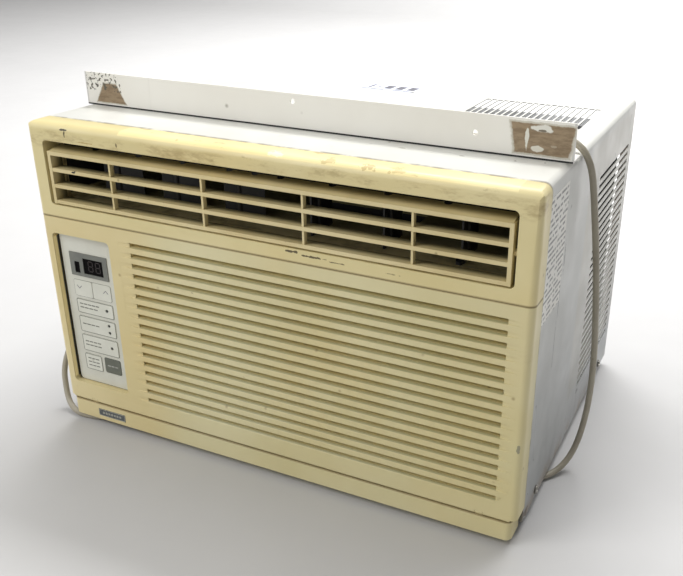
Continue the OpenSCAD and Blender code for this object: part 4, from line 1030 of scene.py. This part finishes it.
@dataclass
class ControlFace:
    """What is printed on the control panel: outlines, arrows, dashes, digits."""

    line: float = 0.0005
    lift: float = 0.00008

    def on(self, obj: Piece, key: KeyName | None) -> None:
        """Lets a print ride on its key, or on the chassis."""
        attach(obj, NODE_BODY[key.value] if key else "chassis")

    def build(self, mats: "Palette") -> None:
        """Builds every print."""
        ink = mats["panel_ink"]
        for key in KeyName:
            if key is KeyName.UP:
                continue
            lo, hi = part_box(key.value)
            y = lo.y
            mid = ((lo.x + hi.x) / 2, (lo.z + hi.z) / 2)
            if key is KeyName.DOWN:
                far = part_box(KeyName.UP.value)[1]
                o = outline(far.x - lo.x + 0.0004, hi.z - lo.z + 0.0002, 0.0020)
                path = o + ((lo.x + far.x) / 2, mid[1])
                border = strips("key_pair_outline", [path], self.line, self.lift, PLATE, ink, True)
                self.on(border, None)
                for name, k, way in (("arrow_down", KeyName.DOWN, -1), ("arrow_up", KeyName.UP, 1)):
                    a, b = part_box(k.value)
                    x = a.x + 0.006 if way < 0 else b.x - 0.006
                    z = (a.z + b.z) / 2 + 0.0012
                    rise = way * 0.0014
                    v = np.array([(x - 0.0028, z - rise), (x, z + rise), (x + 0.0028, z - rise)])
                    self.on(strips(name, [v], 0.0006, self.lift, a.y, mats["sticker_ink"]), k)
                continue
            if key is not KeyName.POWER:
                inner = outline(hi.x - lo.x - 0.0006, hi.z - lo.z - 0.0006, 0.0016) + mid
                self.on(strips(key.value + "_outline", [inner], self.line, self.lift, y, ink, True), key)
            rows = {KeyName.SAVER: ((0.55, 0.40), (0.50, -0.18)), KeyName.MODE: ((0.48, 0.06),),
                    KeyName.TIMER: ((0.46, 0.24), (0.46, -0.24)),
                    KeyName.FAN: ((0.8, 0.5), (0.7, 0.0), (0.75, -0.5)),
                    KeyName.POWER: ((0.8, 0.0),)}[key]
            w, h = hi.x - lo.x, hi.z - lo.z
            dashes = []
            for share, up in rows:
                z = mid[1] + up * h * 0.45
                span = min(share * w, w - 0.006)
                x0 = lo.x + 0.003 if w > 0.03 else mid[0] - span / 2
                cuts = np.linspace(0, span, 2 + int(span / 0.0055))
                dashes += [np.array([(x0 + a + 0.0004, z), (x0 + b - 0.0004, z)])
                           for a, b in zip(cuts[:-1], cuts[1:])]
            shade = mats["badge_rim"] if key is KeyName.POWER else ink
            self.on(strips(key.value + "_dashes", dashes, 0.0011, self.lift, y, shade), key)
        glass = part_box("display_window")[0].y
        bars = []
        for x in (-0.1886, -0.1800):
            w, h, z = 0.0050, 0.0098, 0.1700
            segments = (((0, h), (w, h)), ((0, h / 2), (w, h / 2)), ((0, 0), (w, 0)),
                        ((0, h / 2), (0, h)), ((w, h / 2), (w, h)),
                        ((0, 0), (0, h / 2)), ((w, 0), (w, h / 2)))
            for a, b in segments:
                q = np.array([a, b], float) + (x, z - h / 2)
                q += (q[::-1] - q) * 0.10
                bars.append(q)
        self.on(strips("display_digits", bars, 0.0009, 0.00005, glass, mats["dim_segment"]), None)
        log.info("control face: outlines, arrows, dashes and digits")


@dataclass
class Stickers:
    """Paper and print on the cabinet, none of it with letters."""

    def build(self, mats: "Palette") -> None:
        """A blank lot sticker on the top and the print block on the right side."""
        paper = face_sheet("lot_sticker", (-0.0178, FRONT + 0.2935, TOP), *TILTED, (0.074, 0.052), 0.002,
                           0.0002, mats["sticker_paper"])
        bars = []
        for x, y, w, h in ((-0.033, 0.283, 0.003, 0.017), (-0.024, 0.2825, 0.004, 0.003),
                           (-0.013, 0.2835, 0.0085, 0.016), (0.000, 0.2835, 0.0085, 0.016),
                           (0.013, 0.284, 0.0085, 0.016), (-0.027, 0.2700, 0.026, 0.0022),
                           (0.007, 0.2705, 0.026, 0.0026)):
            bars.append(face_sheet("lot_mark", (x, FRONT + y, TOP + 0.0002), *TILTED, (w, h), 0.0006, 0.00005,
                                   mats["sticker_ink"]))
        block = face_sheet("side_print_block", (HALF, PRINT_Y, 0.240), (0, 1, 0), (0, 0, 1), (0.052, 0.100),
                           0.001, 0.00012, mats["side_print"])
        # Painted shadow: a thin black strip along the foot of the rail, where shade falls under its front
        # edge.
        ends = np.array([(-0.2315, TOP + 0.0007), (0.2315, TOP + 0.0007)])
        foot = strips("rail_foot_shadow_strip", [ends], 0.0012, 0.0004, FRONT + 0.078, mats["rubber_mount"])
        bars.append(foot)
        for obj in (paper, *bars, block):
            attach(obj, "chassis")
        log.info("stickers: %d pieces", len(bars) + 2)


@dataclass
class Badge:
    """The plate on the bottom strip: a rim and blank bars in place of a name."""

    def build(self, mats: "Palette") -> None:
        """Builds the rim and the bars on the plate's box."""
        lo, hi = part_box("nameplate")
        mid = ((lo.x + hi.x) / 2, (lo.z + hi.z) / 2)
        w, h = hi.x - lo.x, hi.z - lo.z
        rim = strips("badge_border", [outline(w - 0.0008, h - 0.0008, 0.0006) + mid], 0.0006, 0.0002, lo.y,
                     mats["badge_rim"], True)
        cuts = np.linspace(lo.x + 0.0045, hi.x - 0.0045, 8)
        bars = [np.array([(a + 0.0005, mid[1]), (b - 0.0005, mid[1])]) for a, b in zip(cuts[:-1], cuts[1:])]
        for obj in (rim, strips("badge_bars", bars, 0.0022, 0.0002, lo.y, mats["badge_rim"])):
            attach(obj, "chassis")
        log.info("badge: rim and blank bars")


@dataclass
class Screws:
    """Pan heads with a cross recess on every CAD screw."""

    radius: float = 0.0040
    height: float = 0.0024

    def head(self, name: str, place: Point, axis: Point, material: Material) -> Piece:
        """One head: a domed profile whose crown dips where it is inside the cross."""
        r, h = self.radius, self.height
        steps = np.linspace(1, 0, 9)
        dome = [(h * (0.62 + 0.38 * (1 - q ** 2) ** 0.5), max(r * 0.96 * q, 1e-7)) for q in steps]
        profile = [(0.0, r * 0.98), (h * 0.45, r)] + dome

        def cross(c: np.ndarray, d: np.ndarray, run: np.ndarray) -> np.ndarray:
            """Sinks the crown by a third of its height inside the two bars of the cross."""
            near = np.minimum(np.abs(c), np.abs(d)) < 0.00055
            inside = (np.hypot(c, d) < r * 0.62) & (run > h * 0.6)
            return np.where(near & inside, run - h * 0.4, run)
        return turned(name, place, axis, profile, material, 48, cross)

    def build(self, mats: "Palette") -> None:
        """Heads on the rail and on both sides of the cabinet."""
        places = [("rail", (x, FRONT + 0.091, TOP + 0.0016), (0, 0, 1)) for x in (-0.181, 0.0, 0.181)]
        places += [("side", (side * HALF, FRONT + y, 0.019), (side, 0, 0))
                   for side in (-1, 1) for y in (0.060, 0.307)]
        for n, (where, place, axis) in enumerate(places):
            obj = self.head(f"{where}_screw_head_{n}", place, axis, mats["plated_screw"])
            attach(obj, "chassis")
        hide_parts("rail_screws", "cabinet_screws")
        log.info("screws: %d heads", len(places))


@dataclass
class Palette:
    """Every finish of the unit, built once."""

    fx: Effects
    mats: dict[str, Material] = field(default_factory=dict)

    def __post_init__(self) -> None:
        """Builds the materials."""
        cream, aged = srgb(225, 216, 174), srgb(211, 199, 148)
        front_marks = (
            mark(-190.3, 2, 297.5, 4.2, 9, 1.0, SCUFF_AND_SHADOW_BLACK, 0.95, 0.5),
            mark(-189.0, 4, 294.5, 1.0, 9, 3.6, SCUFF_AND_SHADOW_BLACK, 0.95, 0.4),
            mark(-132.7, 1, 290.7, 1.0, 4, 2.0, BROWN_DIRT, 0.8),
            mark(-168, 0, 289, 9, 4, 0.7, srgb(182, 156, 100), 0.7),
            mark(34, 0, 225.4, 7, 4, 1.2, srgb(70, 58, 40), 0.9, 1.1),
            mark(52, 0, 223.6, 11, 4, 0.8, srgb(70, 58, 40), 0.9, 1.1),
            mark(72, 0, 222.5, 7, 4, 0.6, srgb(80, 66, 44), 0.8, 1.1),
            mark(120, 0, 222, 6, 4, 0.5, srgb(96, 80, 52), 0.6, 1.1),
            mark(228.3, 1, 96.2, 1.4, 4, 4.2, srgb(150, 146, 122), 0.9, 0.6),
            mark(233, 22, 300, 2.0, 1.6, 2.0, SCUFF_AND_SHADOW_BLACK, 0.9, 0.3),
            mark(-68.4, 0, 169.3, 1.6, 3, 0.5, srgb(110, 92, 60), 0.8),
            mark(64, 6, 301, 5, 7, 2, srgb(160, 140, 92), 0.5, 1.2),
            mark(98, 4, 301, 6, 7, 2, srgb(150, 128, 80), 0.5, 1.3),
            mark(19, 5, 301, 7, 7, 2, srgb(238, 232, 206), 0.8, 1.0),
            mark(122, 6, 301, 7, 6, 2, srgb(170, 150, 100), 0.5, 1.2),
        )
        louver_marks = (
            mark(-185.4, 0.5, 260.6, 2.2, 4, 1.0, SCUFF_AND_SHADOW_BLACK, 1.0, 0.5),
            mark(-183.6, 0.5, 262, 0.7, 4, 2.4, SCUFF_AND_SHADOW_BLACK, 1.0, 0.5),
        )
        cabinet_marks = (
            mark(99.6, 62.5, 302, 3.4, 1.2, 2, srgb(150, 144, 130), 0.8),
            mark(83, 75, 302, 1.2, 1.2, 2, srgb(120, 100, 80), 0.8),
            mark(150, 61.6, 302, 2.6, 0.9, 2, srgb(120, 116, 106), 0.9),
            mark(190.5, 66.3, 302, 1.6, 1.6, 2, srgb(60, 58, 54), 0.9, 1.0),
            mark(212.2, 71.1, 302, 1.0, 1.0, 2, srgb(60, 58, 54), 0.9),
            mark(40, 67, 302, 8, 1.2, 2, srgb(188, 180, 176), 0.5, 1.1),
            mark(231, 77.9, 190, 3, 0.9, 16, srgb(70, 72, 74), 0.9, 0.5),
            mark(231, 76, 150, 3, 0.7, 26, srgb(92, 94, 96), 0.8, 0.6),
            mark(231, 84, 226, 3, 1.4, 12, srgb(78, 78, 76), 0.8, 0.9),
            mark(231, 30, 16, 3, 7, 5, srgb(86, 76, 60), 0.9, 0.9),
            mark(231, 198, 42, 3, 6, 3, srgb(50, 46, 42), 0.8, 1.0),
            mark(-231, 60, 40, 3, 12, 4, srgb(120, 110, 94), 0.6, 1.1),
        )
        for f in (
            AgedMoulding("aged_cream_moulding", cream, aged, rough=0.42, patch_scale=5.0, patch_soft=0.3,
                         speck_share=0.05, speck_scale=95.0, dirt=srgb(150, 128, 84), marks=front_marks,
                         deep_share=0.25, recesses=True),
            AgedMoulding("aged_louver_moulding", srgb(224, 214, 176), srgb(206, 192, 146), rough=0.45,
                         patch_scale=9.0,
                         speck_share=0.10, dirt=srgb(120, 108, 76), marks=louver_marks, deep_share=0.88,
                         deep=srgb(92, 87, 60), deep_to=FRONT + 0.0130),
            Enamel("cabinet_enamel", srgb(216, 216, 210), srgb(207, 206, 198), rough=0.36, specular=0.45,
                   speck_share=0.04,
                   speck_scale=70.0, dirt=srgb(130, 122, 108), marks=cabinet_marks, wave_share=2.0,
                   grain_depth=0.00002),
            RailEnamel("rail_enamel", srgb(243, 241, 234), srgb(236, 233, 224), rough=0.4, speck_share=0.05,
                       speck_scale=80.0, dirt=srgb(120, 112, 96), runs=0.2),
            Finish("galvanised_pan", srgb(150, 150, 146), srgb(118, 116, 110), rough=0.42, metal=0.85,
                   patch_scale=60.0,
                   speck_share=0.12, dirt=srgb(110, 84, 60)),
            Finish("plated_screw", srgb(168, 166, 160), srgb(132, 128, 120), rough=0.32, metal=0.9,
                   patch_scale=200.0,
                   speck_share=0.15, speck_scale=600.0, dirt=srgb(120, 86, 60)),
            Finish("membrane_film", srgb(216, 216, 204), srgb(206, 205, 192), rough=0.34, patch_scale=26.0,
                   speck_share=0.03, dirt=srgb(170, 166, 148), grain_scale=1400.0, grain_depth=0.00001),
            Finish("key_film", srgb(222, 222, 210), srgb(212, 212, 199), rough=0.34, patch_scale=40.0,
                   speck_share=0.05,
                   dirt=srgb(168, 164, 148), grain_scale=1400.0, grain_depth=0.00001),
            Finish("power_key_film", srgb(104, 107, 94), srgb(92, 95, 84), rough=0.4, patch_scale=60.0,
                   speck_share=0.08,
                   dirt=srgb(70, 72, 64)),
            Finish("display_surround", srgb(122, 124, 116), srgb(108, 110, 104), rough=0.42, patch_scale=60.0,
                   speck_share=0.04, dirt=srgb(80, 80, 76)),
            Finish("tinted_window", (0.002, 0.002, 0.002), (0.003, 0.002, 0.002), rough=0.30,
                   specular=0.04, patch_scale=90.0,
                   speck_share=0.0, grain_depth=0.0),
            Finish("dim_segment", srgb(26, 8, 8), srgb(22, 7, 7), rough=0.3, speck_share=0.0,
                   grain_depth=0.0),
            Finish("lamp_lens", srgb(52, 56, 44), srgb(40, 42, 36), rough=0.25, speck_share=0.0,
                   grain_depth=0.0),
            Finish("panel_ink", srgb(128, 130, 118), srgb(112, 114, 104), rough=0.5, patch_scale=120.0,
                   speck_share=0.0,
                   grain_depth=0.0),
            Finish("badge_face", srgb(92, 98, 98), srgb(76, 82, 84), rough=0.3, coat=0.3, patch_scale=80.0,
                   speck_share=0.06, dirt=srgb(60, 64, 66)),
            Finish("badge_rim", srgb(186, 186, 178), srgb(168, 168, 160), rough=0.3, metal=0.4,
                   speck_share=0.0),
            Finish("black_plastic", srgb(38, 39, 41), srgb(50, 50, 50), rough=0.5, patch_scale=20.0,
                   speck_share=0.15,
                   dirt=srgb(96, 90, 78)),
            Finish("dusty_foam", srgb(96, 96, 92), srgb(74, 74, 72), rough=0.95, patch_scale=30.0,
                   grain_scale=500.0,
                   grain_depth=0.0002, speck_share=0.2, dirt=srgb(130, 124, 108)),
            Finish("copper_pipe", srgb(190, 118, 84), srgb(140, 84, 62), rough=0.3, metal=1.0,
                   patch_scale=40.0,
                   speck_share=0.1, dirt=srgb(70, 96, 80)),
            Finish("black_shell", (0.012, 0.012, 0.013), (0.02, 0.02, 0.021), rough=0.28, coat=0.3,
                   speck_share=0.1,
                   dirt=srgb(90, 84, 74)),
            Finish("rubber_mount", (0.02, 0.02, 0.02), (0.035, 0.035, 0.035), rough=0.8, speck_share=0.1,
                   dirt=srgb(90, 86, 78)),
            Finish("motor_enamel", srgb(88, 90, 92), srgb(72, 74, 76), rough=0.4, metal=0.3, speck_share=0.12,
                   dirt=srgb(128, 120, 104)),
            Finish("capacitor_can", srgb(176, 178, 180), srgb(160, 162, 164), rough=0.25, metal=0.95,
                   patch_scale=50.0,
                   speck_share=0.02),
            Finish("circuit_mask", srgb(34, 82, 48), srgb(28, 70, 42), rough=0.35, patch_scale=120.0,
                   speck_share=0.25,
                   speck_scale=420.0, dirt=srgb(190, 190, 182)),
            Finish("drain_plastic", srgb(214, 214, 206), srgb(192, 190, 178), rough=0.5, patch_scale=24.0,
                   speck_share=0.15,
                   dirt=srgb(112, 96, 72)),
            Finish("cord_jacket_finish", srgb(168, 161, 144), srgb(150, 143, 126), rough=0.45,
                   patch_scale=30.0,
                   speck_share=0.12, speck_scale=150.0, dirt=srgb(120, 114, 98)),
            Finish("brass_blade", srgb(196, 168, 104), srgb(170, 142, 84), rough=0.25, metal=1.0,
                   patch_scale=90.0,
                   speck_share=0.05),
            Finish("sticker_paper", srgb(222, 226, 240), srgb(214, 219, 234), rough=0.5, patch_scale=50.0,
                   speck_share=0.02,
                   dirt=srgb(170, 166, 160), grain_depth=0.00001),
            Finish("sticker_ink", srgb(88, 88, 96), srgb(110, 108, 116), rough=0.6, patch_scale=300.0,
                   speck_share=0.0,
                   grain_depth=0.0),
            FinStock("fin_stock", srgb(190, 192, 194), srgb(168, 170, 172), rough=0.35, metal=0.9,
                     patch_scale=14.0,
                     speck_share=0.15, dirt=srgb(110, 100, 84)),
            DuctFloor("duct_lining", srgb(46, 45, 42), srgb(34, 34, 32), rough=0.9, patch_scale=30.0,
                      speck_share=0.1),
            Mesh("filter_mesh", srgb(206, 200, 168), srgb(150, 144, 114), rough=0.8, patch_scale=12.0,
                 speck_share=0.1),
            Print("side_print", srgb(222, 221, 215), srgb(214, 212, 205), rough=0.45, patch_scale=30.0,
                  speck_share=0.03),
        ):
            self.mats[f.name] = f.build(self.fx)

    def __getitem__(self, name: str) -> Material:
        """The material of that name."""
        return self.mats[name]


def main() -> None:
    """Builds the scene piece by piece."""
    logging.basicConfig(level=logging.INFO, format="%(message)s")
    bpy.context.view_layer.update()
    fx = Effects()
    Studio().build(fx)
    mats = Palette(fx)
    PowerCord().build(mats["cord_jacket_finish"])
    Inside().build(mats)
    ControlFace().build(mats)
    Stickers().build(mats)
    Badge().build(mats)
    Screws().build(mats)
    for node in ("front_frame", "front_panel"):
        softened(node, mats["aged_cream_moulding"], 0.0011, 3)
    softened("louver_frame", mats["aged_louver_moulding"], 0.0004)
    softened("cabinet", mats["cabinet_enamel"], 0.0003)
    softened("top_rail", mats["rail_enamel"], 0.0003)
    softened("control_panel", mats["membrane_film"], 0.0003)
    for node in [n for n in frame["nodes"] if n.startswith("key_")]:
        softened(node, mats["power_key_film" if node == "key_power" else "key_film"], 0.00015)


if __name__ == "__main__":
    main()
